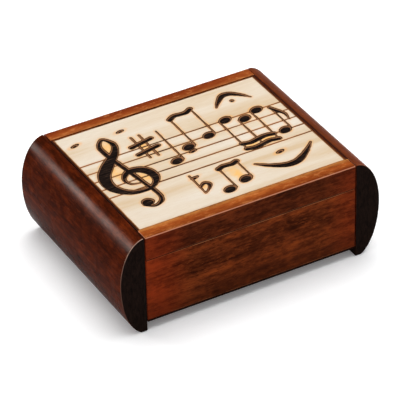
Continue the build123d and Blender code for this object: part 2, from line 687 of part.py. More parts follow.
# Winding arbor and the winged key under the box
wing_z = WING_FLOOR_GAP
key_hub_top = board_z - RUNNING_GAP
barrel_top = crown_root_z
crown_height = 2 * crown_module
bridge_z = barrel_top + crown_height + BRIDGE_GAP
arbor_top = bridge_z + 2 * PLATE
nodes["winding_arbor"] = rod_z(arbor_x, arbor_y, wing_z + WING_HEIGHT * 0.4, arbor_top, ARBOR_RADIUS)
wing_outline = Plane.XZ * Ellipse(WING_LOBE, WING_HEIGHT / 2)
wings = extrude(Pos(WING_RADIUS - WING_LOBE, 0, 0) * wing_outline, amount=WING_THICKNESS / 2, both=True)
wings += extrude(Pos(WING_LOBE - WING_RADIUS, 0, 0) * wing_outline, amount=WING_THICKNESS / 2, both=True)
wing_key = Pos(arbor_x, arbor_y, wing_z + WING_HEIGHT / 2) * wings
wing_key += rod_z(arbor_x, arbor_y, wing_z + WING_HEIGHT / 4, key_hub_top, ARBOR_RADIUS + WING_SLEEVE)
nodes["winding_key"] = wing_key - nodes["winding_arbor"]

# Spring barrel with crown teeth, and the mainspring coiled inside
barrel = rod_z(arbor_x, arbor_y, barrel_z, barrel_top, BARREL_RADIUS)
barrel_bore = BARREL_RADIUS - BARREL_WALL
barrel -= rod_z(arbor_x, arbor_y, barrel_z + BARREL_WALL, barrel_top - BARREL_WALL, barrel_bore)
barrel -= rod_z(arbor_x, arbor_y, barrel_z, barrel_top, ARBOR_RADIUS + SHAFT_GAP)
crown_pitch = 2 * pi * CROWN_RADIUS / CROWN_TEETH
tooth_sink = 0.2 * crown_module
foot_half = TOOTH_FOOT * crown_pitch
tip_half = TOOTH_TIP * crown_pitch
tooth_outline = Polyline(
    (-foot_half, -tooth_sink), (foot_half, -tooth_sink), (tip_half, crown_height), (-tip_half, crown_height),
    close=True,
)
tooth_face = make_face(Plane.YZ * tooth_outline)
crown_tooth = Pos(CROWN_RADIUS - CROWN_FACE / 2, 0, 0) * extrude(tooth_face, amount=CROWN_FACE)
for i in range(CROWN_TEETH):
    turn = (i + 0.5) * 360 / CROWN_TEETH
    barrel += Pos(arbor_x, arbor_y, barrel_top) * Rot(0, 0, turn) * crown_tooth
nodes["spring_barrel"] = barrel

spring_start = ARBOR_RADIUS + SPRING_GAP
spring_step = (BARREL_RADIUS - BARREL_WALL - SPRING_GAP - spring_start) / (2 * SPRING_TURNS)


def spiral_side(offset):
    """One side of the mainspring's strip, as half circles that grow about two centres in turn."""
    arcs = []
    x = spring_start + offset
    sign = 1
    for _ in range(2 * SPRING_TURNS - 1):
        radius = abs(x) + spring_step / 2
        end = x - sign * 2 * radius
        arcs.append(ThreePointArc((x, 0), (x - sign * radius, sign * radius), (end, 0)))
        x = end
        sign = -sign
    return arcs


inner_side = spiral_side(0)
outer_side = spiral_side(SPRING_THICKNESS)
spiral = make_face(
    inner_side + outer_side
    + [Line(inner_side[0] @ 0, outer_side[0] @ 0), Line(inner_side[-1] @ 1, outer_side[-1] @ 1)]
)
spring_z = barrel_z + BARREL_WALL + SPRING_GAP
spring_top = barrel_top - BARREL_WALL - SPRING_GAP
nodes["mainspring"] = Pos(arbor_x, arbor_y, spring_z) * extrude(spiral, amount=spring_top - spring_z)

# Pinned cylinder with its shaft, pinion and wheel
nodes["cylinder_shaft"] = rod_x(drum_y, shaft_z, crown_x - CROWN_FACE, plate_a_x + PLATE, SHAFT_RADIUS)
pinion_x = crown_x - CROWN_FACE / 2
pinion = gear_x(PINION_TEETH, pinion_radius, crown_module, pinion_x, pinion_x + CROWN_FACE, -90)
nodes["drive_pinion"] = Pos(0, drum_y, shaft_z) * pinion - nodes["cylinder_shaft"]
wheel = gear_x(WHEEL_TEETH, WHEEL_RADIUS, wheel_module, wheel_x, wheel_end, 180 + TRAIN_ANGLE)
nodes["cylinder_wheel"] = Pos(0, drum_y, shaft_z) * wheel - nodes["cylinder_shaft"]
drum = rod_x(drum_y, shaft_z, drum_x, drum_end, DRUM_RADIUS)
drum -= rod_x(drum_y, shaft_z, drum_x, drum_x + PLATE, DRUM_RADIUS - PLATE)
drum += rod_x(drum_y, shaft_z, drum_x, drum_x + PLATE, SHAFT_RADIUS + PLATE)
tooth_pitch = DRUM_LENGTH / COMB_TEETH
pin_length = PIN_HEIGHT + PIN_ROOT
pin = Pos(0, 0, DRUM_RADIUS + PIN_HEIGHT - pin_length / 2) * Cylinder(PIN_RADIUS, pin_length)
track_turn = 67
note_turn = 23
note_spread = 60
for track in range(COMB_TEETH):
    track_x = drum_x + (track + 0.5) * tooth_pitch
    for note in range(NOTES_PER_TRACK):
        turn = track * track_turn + note * 360 / NOTES_PER_TRACK + (track * note * note_turn) % note_spread
        drum += Pos(track_x, drum_y, shaft_z) * Rot(turn, 0, 0) * pin
nodes["pinned_cylinder"] = drum - nodes["cylinder_shaft"]

# Comb: eighteen tuned teeth, shorter towards the treble end
comb_tip_y = drum_y - DRUM_RADIUS - PIN_HEIGHT - COMB_TIP_GAP
comb_y = move_y + COMB_INSET
comb_z = shaft_z - COMB_THICKNESS / 2
comb = block(drum_x, drum_end, comb_y, comb_tip_y, comb_z, comb_z + COMB_THICKNESS)
for i in range(COMB_TEETH - 1):
    slot_x = drum_x + (i + 1) * tooth_pitch
    depth = COMB_LONGEST + (COMB_SHORTEST - COMB_LONGEST) * i / (COMB_TEETH - 2)
    comb -= block(
        slot_x - COMB_SLOT / 2, slot_x + COMB_SLOT / 2, comb_tip_y - depth, comb_tip_y + 1, comb_z - 1,
        comb_z + COMB_THICKNESS + 1,
    )
comb_screw_y = comb_y + COMB_SCREW_INSET
comb_screws = [
    Pos(drum_x + DRUM_LENGTH * share, comb_screw_y, comb_z + COMB_THICKNESS) for share in (0.25, 0.75)
]
nodes["comb"] = drilled(comb, comb_screws)
nodes["comb_screws"] = screws(comb_screws)

# Bedplate with the comb's heel, the cylinder's bearing post and the bridge's posts
bed_top = bed_z + BED_THICKNESS
frame_top = shaft_z + SHAFT_RADIUS + PLATE
bed = block(move_x, move_x + MOVE_LENGTH, move_y, move_y + MOVE_DEPTH, bed_z, bed_top)
heel_end = comb_y + 2 * COMB_SCREW_INSET
bed += block(drum_x, drum_end, comb_y, heel_end, bed_top, comb_z)
bed += block(post_x, post_x + PLATE, drum_y - BEARING_HALF, drum_y + BEARING_HALF, bed_top, frame_top)
bed -= rod_x(drum_y, shaft_z, post_x - 1, post_x + PLATE + 1, SHAFT_RADIUS + SHAFT_GAP)
bed -= rod_z(arbor_x, arbor_y, bed_z, bed_top, ARBOR_RADIUS + SHAFT_GAP)
bridge_ends = [arbor_y + side * (BARREL_RADIUS + BRIDGE_ROOM) for side in (-1, 1)]
for y in bridge_ends:
    bed += rod_z(arbor_x, y, bed_top, bridge_z, BRIDGE_POST)
bed = drilled(bed, bed_screw_places, bed_screw_length)
nodes["movement_bedplate"] = drilled(bed, comb_screws)

bridge = block(
    arbor_x - BRIDGE_HALF_WIDTH, arbor_x + BRIDGE_HALF_WIDTH, bridge_ends[0] - BRIDGE_POST,
    bridge_ends[1] + BRIDGE_POST, bridge_z, bridge_z + PLATE,
)
bridge -= rod_z(arbor_x, arbor_y, bridge_z, bridge_z + PLATE, ARBOR_RADIUS + SHAFT_GAP)
nodes["barrel_bridge"] = bridge

# Governor: frame plates, wheel shaft, worm and fly
low_top = train_z + SHAFT_RADIUS + PLATE
plate_points = [
    (worm_y - BEARING_HALF, bed_top), (drum_y + BEARING_HALF, bed_top), (drum_y + BEARING_HALF, frame_top),
    (drum_y - BEARING_HALF, frame_top), (drum_y - BEARING_HALF, low_top), (worm_y - BEARING_HALF, low_top),
]
plate_a = prism_x(plate_points, plate_a_x, plate_a_x + PLATE)
plate_a -= rod_x(drum_y, shaft_z, plate_a_x - 1, plate_a_x + PLATE + 1, SHAFT_RADIUS + SHAFT_GAP)
plate_a -= rod_x(train_y, train_z, plate_a_x - 1, plate_a_x + PLATE + 1, SHAFT_RADIUS + SHAFT_GAP)
plate_b = prism_x(
    [
        (worm_y - FLY_ARM_HALF, bed_top), (train_y + BEARING_HALF, bed_top),
        (train_y + BEARING_HALF, low_top), (worm_y + FLY_ARM_HALF, low_top),
        (worm_y + FLY_ARM_HALF, fly_arm_z + PLATE),
        (worm_y - FLY_ARM_HALF, fly_arm_z + PLATE),
    ],
    plate_b_x, plate_b_x + PLATE,
)
plate_b -= rod_x(train_y, train_z, plate_b_x - 1, plate_b_x + PLATE + 1, SHAFT_RADIUS + SHAFT_GAP)
arm = block(
    worm_x - FLY_ARM_HALF, plate_b_x, worm_y - FLY_ARM_HALF, worm_y + FLY_ARM_HALF,
    fly_arm_z, fly_arm_z + PLATE,
)
stop_y = worm_y - FLY_RADIUS - ROD_CLEARANCE - ROD_RADIUS
foot_strip = block(
    plate_a_x + PLATE, plate_b_x, stop_y - ROD_GUIDE_HALF, worm_y + FLY_ARM_HALF, bed_top, bed_top + PLATE
)
frame = plate_a + plate_b + arm + foot_strip
frame -= rod_z(worm_x, worm_y, fly_arm_z - 1, fly_arm_z + PLATE, FLY_SHAFT_RADIUS + SHAFT_GAP)
frame -= rod_z(worm_x, worm_y, bed_top, bed_top + PLATE, FLY_SHAFT_RADIUS + SHAFT_GAP)

worm_wheel_x = worm_x - WHEEL_FACE / 2
train_shaft = rod_x(train_y, train_z, wheel_x, plate_b_x + PLATE, SHAFT_RADIUS)
small_pinion = gear_x(
    SMALL_PINION_TEETH, small_pinion_radius, wheel_module, wheel_x, wheel_end,
    TRAIN_ANGLE + 180 / SMALL_PINION_TEETH,
)
nodes["governor_pinion"] = Pos(0, train_y, train_z) * small_pinion + train_shaft
worm_wheel = gear_x(
    WORM_WHEEL_TEETH, WORM_WHEEL_RADIUS, worm_module, worm_wheel_x, worm_wheel_x + WHEEL_FACE, 180
)
nodes["worm_wheel"] = Pos(0, train_y, train_z) * worm_wheel - train_shaft

worm_lead = pi * worm_module * WORM_STARTS
worm_root = WORM_RADIUS - WORM_DEDENDUM * worm_module
worm_tip = WORM_RADIUS + WORM_ADDENDUM * worm_module
worm_face = toothed_outline(WORM_STARTS, worm_root, worm_tip).face()
worm_turn = 360 * WORM_LENGTH / worm_lead
worm = Solid.extrude_linear_with_rotation(worm_face, (0, 0, 0), (0, 0, WORM_LENGTH), worm_turn)
worm = Pos(worm_x, worm_y, train_z - WORM_LENGTH / 2) * worm
fly_pin = rod_z(worm_x, worm_y, bed_top, fly_arm_z + PLATE, FLY_SHAFT_RADIUS)
nodes["worm"] = worm + fly_pin
fly = block(
    worm_x - FLY_RADIUS, worm_x + FLY_RADIUS, worm_y - FLY_THICKNESS / 2, worm_y + FLY_THICKNESS / 2,
    fly_z, fly_z + FLY_HEIGHT,
)
fly += rod_z(worm_x, worm_y, fly_z, fly_z + FLY_HEIGHT, FLY_SHAFT_RADIUS + FLY_SLEEVE)
nodes["fly"] = fly - fly_pin

# Stop rod: the closing lid pushes it down and its finger stands in front of the fly
rod_top = lining_z - PAD_THICKNESS - ROD_TOP_GAP
guide_z = bed_top + PLATE
rod_bottom = guide_z - PLATE
stop_rod = rod_z(worm_x, stop_y, rod_bottom, rod_top, ROD_RADIUS)
finger_z = fly_z + FLY_HEIGHT / 2
stop_rod += block(
    worm_x - ROD_FINGER / 2, worm_x + ROD_FINGER / 2, stop_y, worm_y - FLY_RADIUS - FLY_BRAKE_GAP,
    finger_z - ROD_FINGER / 2, finger_z + ROD_FINGER / 2,
)
nodes["stop_rod"] = stop_rod
guide_post = block(
    worm_x - ROD_GUIDE_HALF, worm_x + ROD_GUIDE_HALF, stop_y - ROD_GUIDE_HALF, stop_y + ROD_GUIDE_HALF,
    bed_top, guide_z + 2 * PLATE,
)
guide_bore = rod_z(worm_x, stop_y, bed_top, guide_z + 2 * PLATE, ROD_RADIUS + SHAFT_GAP)
frame += guide_post
frame -= guide_bore
nodes["governor_frame"] = frame
window = block(-inner_x, divider_x, room_y0, inner_back_y, window_z, window_top_z)
window_bore = ROD_RADIUS + RUNNING_GAP
nodes["movement_window"] = window - rod_z(worm_x, stop_y, window_z - 1, window_top_z + 1, window_bore)
nodes["stop_pad"] = block(
    worm_x - PAD_HALF, worm_x + PAD_HALF, stop_y - PAD_HALF, stop_y + PAD_HALF,
    lining_z - PAD_THICKNESS, lining_z,
)

os.makedirs("parts", exist_ok=True)
for name, part in nodes.items():
    export_step(part, f"parts/{name}.step")
    print(name)
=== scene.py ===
import json
from math import cos, hypot, pi, radians, sin
import bmesh
import bpy
import numpy as np
from mathutils import Matrix, Vector

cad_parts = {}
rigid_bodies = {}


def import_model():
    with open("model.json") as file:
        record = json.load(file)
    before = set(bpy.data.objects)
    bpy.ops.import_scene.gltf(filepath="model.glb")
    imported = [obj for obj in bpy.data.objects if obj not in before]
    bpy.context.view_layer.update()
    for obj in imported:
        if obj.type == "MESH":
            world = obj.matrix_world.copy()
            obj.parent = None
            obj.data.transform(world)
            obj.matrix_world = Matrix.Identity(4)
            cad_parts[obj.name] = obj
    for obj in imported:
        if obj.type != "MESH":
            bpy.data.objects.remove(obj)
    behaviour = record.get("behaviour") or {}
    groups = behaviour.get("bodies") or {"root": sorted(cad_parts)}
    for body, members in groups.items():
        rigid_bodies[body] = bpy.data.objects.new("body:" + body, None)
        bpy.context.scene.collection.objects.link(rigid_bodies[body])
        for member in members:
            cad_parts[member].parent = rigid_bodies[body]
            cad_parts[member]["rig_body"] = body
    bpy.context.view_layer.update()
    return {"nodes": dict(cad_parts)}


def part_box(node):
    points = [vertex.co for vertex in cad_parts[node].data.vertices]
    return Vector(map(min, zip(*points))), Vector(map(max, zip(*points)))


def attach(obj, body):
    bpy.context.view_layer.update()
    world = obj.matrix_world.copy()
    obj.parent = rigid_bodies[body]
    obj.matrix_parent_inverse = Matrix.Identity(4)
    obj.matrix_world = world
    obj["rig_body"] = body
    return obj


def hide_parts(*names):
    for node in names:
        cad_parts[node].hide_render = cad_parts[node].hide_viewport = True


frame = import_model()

# Dress of a wooden puzzle music box, in metres, in the frame's own axes: +X along the front, -Y to the
# front and +Z up
MM = 0.001
TINY = 0.001 * MM

# Camera, seen from the front left and above
VIEW_AZIMUTH = radians(-28.77)
VIEW_ELEVATION = radians(34.72)
VIEW_ROLL = radians(-1.46)
VIEW_DISTANCE = 1607.15 * MM
AIM_RIGHT = -0.305 * MM
AIM_UP = 22.002 * MM
LENS = 260.96
SENSOR = 36.0

# Carved board of the lid
CARVE_STEP = 0.4 * MM
CARVE_DEPTH = 0.55 * MM
CARVE_SLOPE = 0.9 * MM
LINE_HALF_WIDTH = 0.5 * MM
# The dark line along the board's edge is painted shade of the gap round the board
EDGE_SHADE_LINE = 0.85 * MM
LINE_DEPTH = 0.2 * MM
STAVE_FOOT = 34.0 * MM
STAVE_SPACE = 8.5 * MM
STAVE_LINES = 5
HEAD_LENGTH = 4.4 * MM
HEAD_WIDTH = 3.2 * MM
HEAD_TILT = radians(20)
STEM_INSET = 0.5 * MM
STEM_HALF_WIDTH = 0.62 * MM
BEAM_HALF_WIDTH = 1.95 * MM
BEAM_SPACE = 5.5 * MM
CURVE_STEPS = 10
STROKE_REACH = 4 * MM
BOARD_SHARP_ANGLE = radians(50)

# How deep the board's points lie in a stroke where none is near, and what its underside carries for both
# depths, which the shader reads in millimetres
OFF_STROKES = -1000 * MM
BELOW_SIGNS = -1.0


def tone(red, green, blue):
    """A colour written as on a screen, 0 to 255, turned into the linear values that a shader takes."""
    linear = []
    for part in (red, green, blue):
        share = part / 255
        linear.append(share / 12.92 if share <= 0.04045 else ((share + 0.055) / 1.055) ** 2.4)
    return (*linear, 1.0)


# Shader nodes. The mix node's sockets for colours go by number, as their names repeat.
MIX_SHARE = 0
MIX_FIRST = 6
MIX_SECOND = 7
MIX_COLOR = 2


def feed(tree, socket, value):
    """Links the socket where the value is a socket too, and otherwise sets it."""
    if isinstance(value, bpy.types.NodeSocket):
        tree.links.new(value, socket)
    else:
        socket.default_value = value


def add(tree, kind, inputs=None, **settings):
    """A new node with its settings, and with its named inputs linked or set."""
    node = tree.nodes.new(kind)
    for name, value in settings.items():
        setattr(node, name, value)
    for name, value in (inputs or {}).items():
        feed(tree, node.inputs[name], value)
    return node


def coordinates(tree, scale=(1, 1, 1), offset=(0, 0, 0)):
    """The object's own coordinates, stretched and shifted."""
    place = add(tree, "ShaderNodeTexCoord")
    inputs = {"Vector": place.outputs["Object"], "Scale": scale, "Location": offset}
    return add(tree, "ShaderNodeMapping", inputs).outputs["Vector"]


def noise(tree, vector, scale, detail, roughness=0.55, distortion=0.0):
    inputs = {
        "Vector": vector,
        "Scale": scale,
        "Detail": detail,
        "Roughness": roughness,
        "Distortion": distortion,
    }
    return add(tree, "ShaderNodeTexNoise", inputs).outputs["Fac"]


def spread(tree, value, low, high, to_low=0.0, to_high=1.0):
    """Value's range from low to high, stretched to to_low to to_high and cut off beyond."""
    inputs = {
        "Value": value,
        "From Min": low,
        "From Max": high,
        "To Min": to_low,
        "To Max": to_high,
    }
    return add(tree, "ShaderNodeMapRange", inputs, interpolation_type="SMOOTHSTEP").outputs["Result"]


def ramp(tree, value, *stops):
    """The colour that lies at value among stops of (place, colour)."""
    node = add(tree, "ShaderNodeValToRGB", {"Fac": value})
    elements = node.color_ramp.elements
    elements[0].position, elements[0].color = stops[0]
    elements[1].position, elements[1].color = stops[-1]
    for place, color in stops[1:-1]:
        elements.new(place).color = color
    return node.outputs["Color"]


def blend(tree, share, first, second):
    """The first colour where share is 0, and the second where it is 1."""
    node = add(tree, "ShaderNodeMix", data_type="RGBA", blend_type="MIX")
    feed(tree, node.inputs[MIX_SHARE], share)
    feed(tree, node.inputs[MIX_FIRST], first)
    feed(tree, node.inputs[MIX_SECOND], second)
    return node.outputs[MIX_COLOR]


def calculate(tree, operation, *values):
    node = add(tree, "ShaderNodeMath", operation=operation)
    for socket, value in zip(node.inputs, values):
        feed(tree, socket, value)
    return node.outputs["Value"]


def times(tree, first, second):
    return calculate(tree, "MULTIPLY", first, second)


def plus(tree, first, second):
    return calculate(tree, "ADD", first, second)


def minus(tree, first, second):
    return calculate(tree, "SUBTRACT", first, second)


def absolute(tree, value):
    return calculate(tree, "ABSOLUTE", value)


def axis_of(tree, kind, axis):
    """One axis of the object's own coordinates: its Object place or its Normal."""
    vector = add(tree, "ShaderNodeTexCoord").outputs[kind]
    return add(tree, "ShaderNodeSeparateXYZ", {"Vector": vector}).outputs[axis]


def facing(tree, axis):
    """How far the surface faces along one axis of the object, -1 to 1."""
    return axis_of(tree, "Normal", axis)


def place_along(tree, axis):
    """How far along one axis of the object a point of the surface lies, in metres."""
    return axis_of(tree, "Object", axis)


def carried(tree, attribute):
    """A value that the mesh itself carries."""
    node = add(tree, "ShaderNodeAttribute", attribute_name=attribute, attribute_type="GEOMETRY")
    return node.outputs["Fac"]


def bump(tree, height, strength, distance, normal=None):
    inputs = {"Height": height, "Strength": strength, "Distance": distance}
    if normal is not None:
        inputs["Normal"] = normal
    return add(tree, "ShaderNodeBump", inputs).outputs["Normal"]


def new_material(name, **values):
    """A material with its own node tree and principled shader, whose named sockets get these values."""
    material = bpy.data.materials.new(name)
    material.use_nodes = True
    shader = material.node_tree.nodes["Principled BSDF"]
    for socket, value in values.items():
        shader.inputs[socket.replace("_", " ")].default_value = value
    return material, material.node_tree, shader


def surface(tree, shader, **sockets):
    """Links the shader's named sockets."""
    for name, socket in sockets.items():
        tree.links.new(socket, shader.inputs[name.replace("_", " ")])


def add_mask(tree, shader, share, color):
    """Lays one more colour over the base colour where share is 1."""
    base = shader.inputs["Base Color"]
    tree.links.new(blend(tree, share, base.links[0].from_socket, color), base)


# Wood. The scales say how fine each part of the figure is, in repeats to the metre.
FIGURE = 9.0
STREAKS = 60.0
MOTTLE = 130.0
BLOTCHES = 55.0
FIBRES = 330.0
FLECKS = 560.0
PORES = 150.0
GRAIN_STRETCH = 10.0
ACROSS = {"X": (1, GRAIN_STRETCH, GRAIN_STRETCH), "Y": (GRAIN_STRETCH, 1, GRAIN_STRETCH)}
FLECK_STRETCH = {"X": (0.4, 1, 1), "Y": (1, 0.25, 1)}
LACQUER_TINT = (1.0, 0.66, 0.48, 1.0)
LACQUER_GLOSS = 0.004
# Eased edges: worn lacquer together with a painted highlight
EDGE_WEAR_AND_HIGHLIGHT_RED = tone(188, 116, 74)


def stained_wood(name, grain, tones, offset, shine=0.34, blotch=0.5, worn=EDGE_WEAR_AND_HIGHLIGHT_RED):
    """Stained open-pored wood with figure, blotches, fibres, flecks and pores along the grain.
    Its eased edges take the worn tone, which is partly worn lacquer and partly a painted highlight."""
    dark, middle, light = tones
    material, tree, shader = new_material(
        name, Specular_IOR_Level=LACQUER_GLOSS, Specular_Tint=LACQUER_TINT
    )
    stretched = coordinates(tree, ACROSS[grain], offset)
    plain = coordinates(tree, offset=offset)

    figure = noise(tree, stretched, FIGURE, 3.0, 0.5, 0.8)
    streaks = noise(tree, stretched, STREAKS, 6.0, 0.65, 0.3)
    mottle = noise(tree, coordinates(tree, (0.6, 1, 1), offset), MOTTLE, 5.0, 0.62)
    pattern = plus(tree, times(tree, figure, 0.34), times(tree, streaks, 0.33))
    pattern = plus(tree, pattern, times(tree, mottle, 0.33))
    color = ramp(tree, pattern, (0.38, dark), (0.5, middle), (0.62, light))

    blotches = noise(tree, coordinates(tree, (0.5, 1, 1.6), offset), BLOTCHES, 4.0, 0.6)
    color = blend(tree, times(tree, spread(tree, blotches, 0.52, 0.68), blotch), color, dark)
    fibres = noise(tree, stretched, FIBRES, 3.0, 0.6)
    color = blend(tree, spread(tree, fibres, 0.35, 0.65, 0.0, 0.3), color, dark)
    flecks = noise(tree, coordinates(tree, FLECK_STRETCH[grain], offset), FLECKS, 2.0, 0.7)
    color = fleck(tree, flecks, color, dark, light)
    pores = spread(tree, noise(tree, stretched, PORES, 2.0, 0.7), 0.6, 0.68)
    color = blend(tree, times(tree, pores, 0.55), color, tone(18, 8, 5))

    # Eased edges take the worn tone: worn lacquer and a painted highlight
    edge_wear_and_highlight = spread(tree, noise(tree, plain, 90.0, 3.0), 0.3, 0.6, 0.15, 0.75)
    color = blend(tree, times(tree, carried(tree, "eased"), edge_wear_and_highlight), color, worn)
    rough = spread(tree, noise(tree, plain, 60.0, 3.0), 0.3, 0.7, shine - 0.05, shine + 0.07)
    relief = minus(tree, times(tree, fibres, 0.35), pores)
    surface(tree, shader, Base_Color=color, Roughness=rough, Normal=bump(tree, relief, 0.12, 0.02 * MM))
    return material, tree, shader, color


def fleck(tree, flecks, color, dark, light):
    """Sprinkles short dark and light flecks over a colour."""
    color = blend(tree, spread(tree, flecks, 0.5, 0.66, 0.0, 0.5), color, dark)
    return blend(tree, spread(tree, flecks, 0.34, 0.46, 0.3, 0.0), color, light)


def end_wood():
    """Dark walnut stain with near-black end grain front and back. Painted shade darkens the lower curve,
    the eased edges take worn lacquer with a painted highlight that is brightest at the top, a painted
    highlight lightens the right piece along its top, and painted shade darkens the inner faces below the
    case."""
    material, tree, shader, color = stained_wood(
        "walnut_ends_wood",
        "Y",
        (tone(42, 13, 4), tone(74, 25, 7), tone(106, 40, 12)),
        offset=(0.3, 0.1, 0.2),
        shine=0.25,
        blotch=0.4,
        # worn lacquer and a painted highlight on the eased edges
        worn=tone(182, 148, 130),
    )
    upwards = facing(tree, "Z")
    # Painted shade: the curve is darker where it faces sideways and down
    add_mask(tree, shader, spread(tree, upwards, -0.45, 0.1, 0.45, 0.0), tone(32, 8, 2))
    # The painted edge highlight is dimmed where the eased edges face sideways and down
    unlit_low_edge = times(tree, carried(tree, "eased"), spread(tree, upwards, 0.05, 0.5, 0.75, 0.0))
    add_mask(tree, shader, unlit_low_edge, tone(62, 30, 20))

    # Painted highlight along the top of the right piece, strongest where the wood is light
    on_right = spread(tree, place_along(tree, "X"), 0.0, 60 * MM)
    painted_lit_top = times(tree, spread(tree, upwards, 0.1, 0.7, 0.0, 0.7), on_right)
    painted_lit_top = times(tree, painted_lit_top, spread(tree, color, 0.0, 0.08, 0.5, 1.0))
    add_mask(tree, shader, painted_lit_top, tone(136, 68, 36))

    rings = noise(tree, coordinates(tree, (3, 1, 1)), 260.0, 4.0, 0.6, 0.6)
    end_grain = ramp(tree, rings, (0.3, tone(14, 10, 9)), (0.7, tone(34, 23, 19)))
    endways = absolute(tree, facing(tree, "Y"))
    add_mask(tree, shader, spread(tree, endways, 0.6, 0.85), end_grain)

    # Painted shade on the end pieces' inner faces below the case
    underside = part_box("front_panel")[0].z
    below_case = spread(tree, place_along(tree, "Z"), underside - 0.5 * MM, underside, 1.0, 0.0)
    inner_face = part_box("right_end_piece")[0].x
    off_middle = absolute(tree, place_along(tree, "X"))
    at_inner_face = spread(tree, off_middle, inner_face + 0.2 * MM, inner_face + 0.6 * MM, 1.0, 0.0)
    add_mask(tree, shader, times(tree, below_case, at_inner_face), tone(30, 18, 12))
    return material


def darken_seam_and_foot(tree, shader):
    """Painted shade in the seam under the lid, and a darker band below the front panel's foot, along the
    bottom board's edge.
    """
    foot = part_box("front_panel")[0].z
    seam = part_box("front_panel")[1].z
    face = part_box("back_panel")[1].y
    height = place_along(tree, "Z")
    off_middle = absolute(tree, place_along(tree, "Y"))
    outside = spread(tree, off_middle, face - 0.7 * MM, face - 0.4 * MM)
    off_seam = absolute(tree, minus(tree, height, seam))
    seam_shade = times(tree, outside, spread(tree, off_seam, 0.12 * MM, 0.4 * MM, 1.0, 0.0))
    at_foot = times(tree, outside, spread(tree, height, foot - 0.15 * MM, foot, 1.0, 0.0))
    # Painted shade in the seam, then the darker band below the foot
    add_mask(tree, shader, seam_shade, tone(20, 9, 6))
    add_mask(tree, shader, at_foot, tone(26, 11, 7))


def redden_ends(tree, shader, color):
    """The stain turns more orange towards both ends, most where the wood is light."""
    across = place_along(tree, "X")
    light_wood = spread(tree, color, 0.0, 0.06, 0.3, 1.0)
    for start, end, share in ((-34 * MM, -60 * MM, 0.62), (42 * MM, 64 * MM, 0.35)):
        glow = times(tree, spread(tree, across, start, end, 0.0, share), light_wood)
        add_mask(tree, shader, glow, tone(146, 48, 20))


def case_wood():
    """Red-brown mahogany stain, darker towards the foot, with painted shade on top of the lid's side lips
    beside the board.
    """
    material, tree, shader, color = stained_wood(
        "mahogany_front",
        "X",
        (tone(48, 19, 9), tone(102, 45, 20), tone(144, 66, 28)),
        offset=(0.12, 0.35, 0.05),
    )
    redden_ends(tree, shader, color)
    height = place_along(tree, "Z")
    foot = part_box("front_panel")[0].z
    add_mask(tree, shader, spread(tree, height, foot, foot + 17 * MM, 0.5, 0.0), tone(52, 23, 13))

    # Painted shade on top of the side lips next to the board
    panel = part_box("lid_panel")[1]
    off_middle = absolute(tree, place_along(tree, "X"))
    beside_panel = spread(tree, off_middle, panel.x - 0.2 * MM, panel.x + 0.2 * MM, 0.0, 0.9)
    at_top = spread(tree, height, panel.z - 1 * MM, panel.z - 0.3 * MM)
    add_mask(tree, shader, times(tree, beside_panel, at_top), tone(34, 15, 9))
    darken_seam_and_foot(tree, shader)
    return material


def strip_wood():
    """The lid's front and back rails: brighter orange-brown on top, there with painted light next to the
    board and painted shade towards the outer edge, as dark as the case on the sides, and with worn lacquer
    and a painted highlight along the upper edge."""
    material, tree, shader, color = stained_wood(
        "mahogany_lid",
        "X",
        (tone(44, 18, 9), tone(88, 38, 18), tone(122, 54, 24)),
        offset=(0.52, 0.15, 0.4),
        # worn lacquer and a painted highlight on the eased edges
        worn=tone(150, 96, 66),
    )
    redden_ends(tree, shader, color)
    darken_seam_and_foot(tree, shader)

    figure = noise(tree, coordinates(tree, ACROSS["X"], (0.2, 0.6, 0.1)), 16.0, 5.0, 0.6)
    oranges = ((0.3, tone(114, 50, 18)), (0.52, tone(152, 74, 28)), (0.72, tone(182, 102, 44)))
    warm = ramp(tree, figure, *oranges)
    across = place_along(tree, "Y")
    off_panel = minus(tree, absolute(tree, across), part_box("lid_panel")[1].y)
    # Painted light and shade across the top: paler next to the board, darker towards the outer edge
    warm = blend(tree, spread(tree, off_panel, 0, 3.5 * MM, 0.6, 0.0), warm, tone(184, 122, 62))
    warm = blend(tree, spread(tree, off_panel, 3 * MM, 8 * MM, 0.0, 0.7), warm, tone(92, 34, 13))
    warm = blend(tree, spread(tree, across, -10 * MM, 40 * MM, 0.0, 0.5), warm, tone(116, 42, 18))
    flecks = noise(tree, coordinates(tree, FLECK_STRETCH["X"], (0.4, 0.3, 0.2)), 430.0, 3.0, 0.7)
    warm = fleck(tree, flecks, warm, tone(112, 46, 17), tone(206, 134, 74))

    upwards = facing(tree, "Z")
    add_mask(tree, shader, spread(tree, upwards, 0.55, 0.9), warm)
    # Painted highlight along the rounded upper edge, between side and top
    above_side = spread(tree, upwards, 0.3, 0.5, 0.0, 0.7)
    below_top = spread(tree, upwards, 0.74, 0.9, 1.0, 0.0)
    add_mask(tree, shader, times(tree, above_side, below_top), tone(216, 146, 112))
    return material


def plain_wood():
    """Unstained inner wood."""
    return stained_wood(
        "inner_wood_plain",
        "X",
        (tone(150, 112, 74), tone(186, 146, 102), tone(208, 172, 128)),
        offset=(0.7, 0.2, 0.3),
        shine=0.5,
        blotch=0.2,
        worn=tone(214, 180, 138),
    )[0]


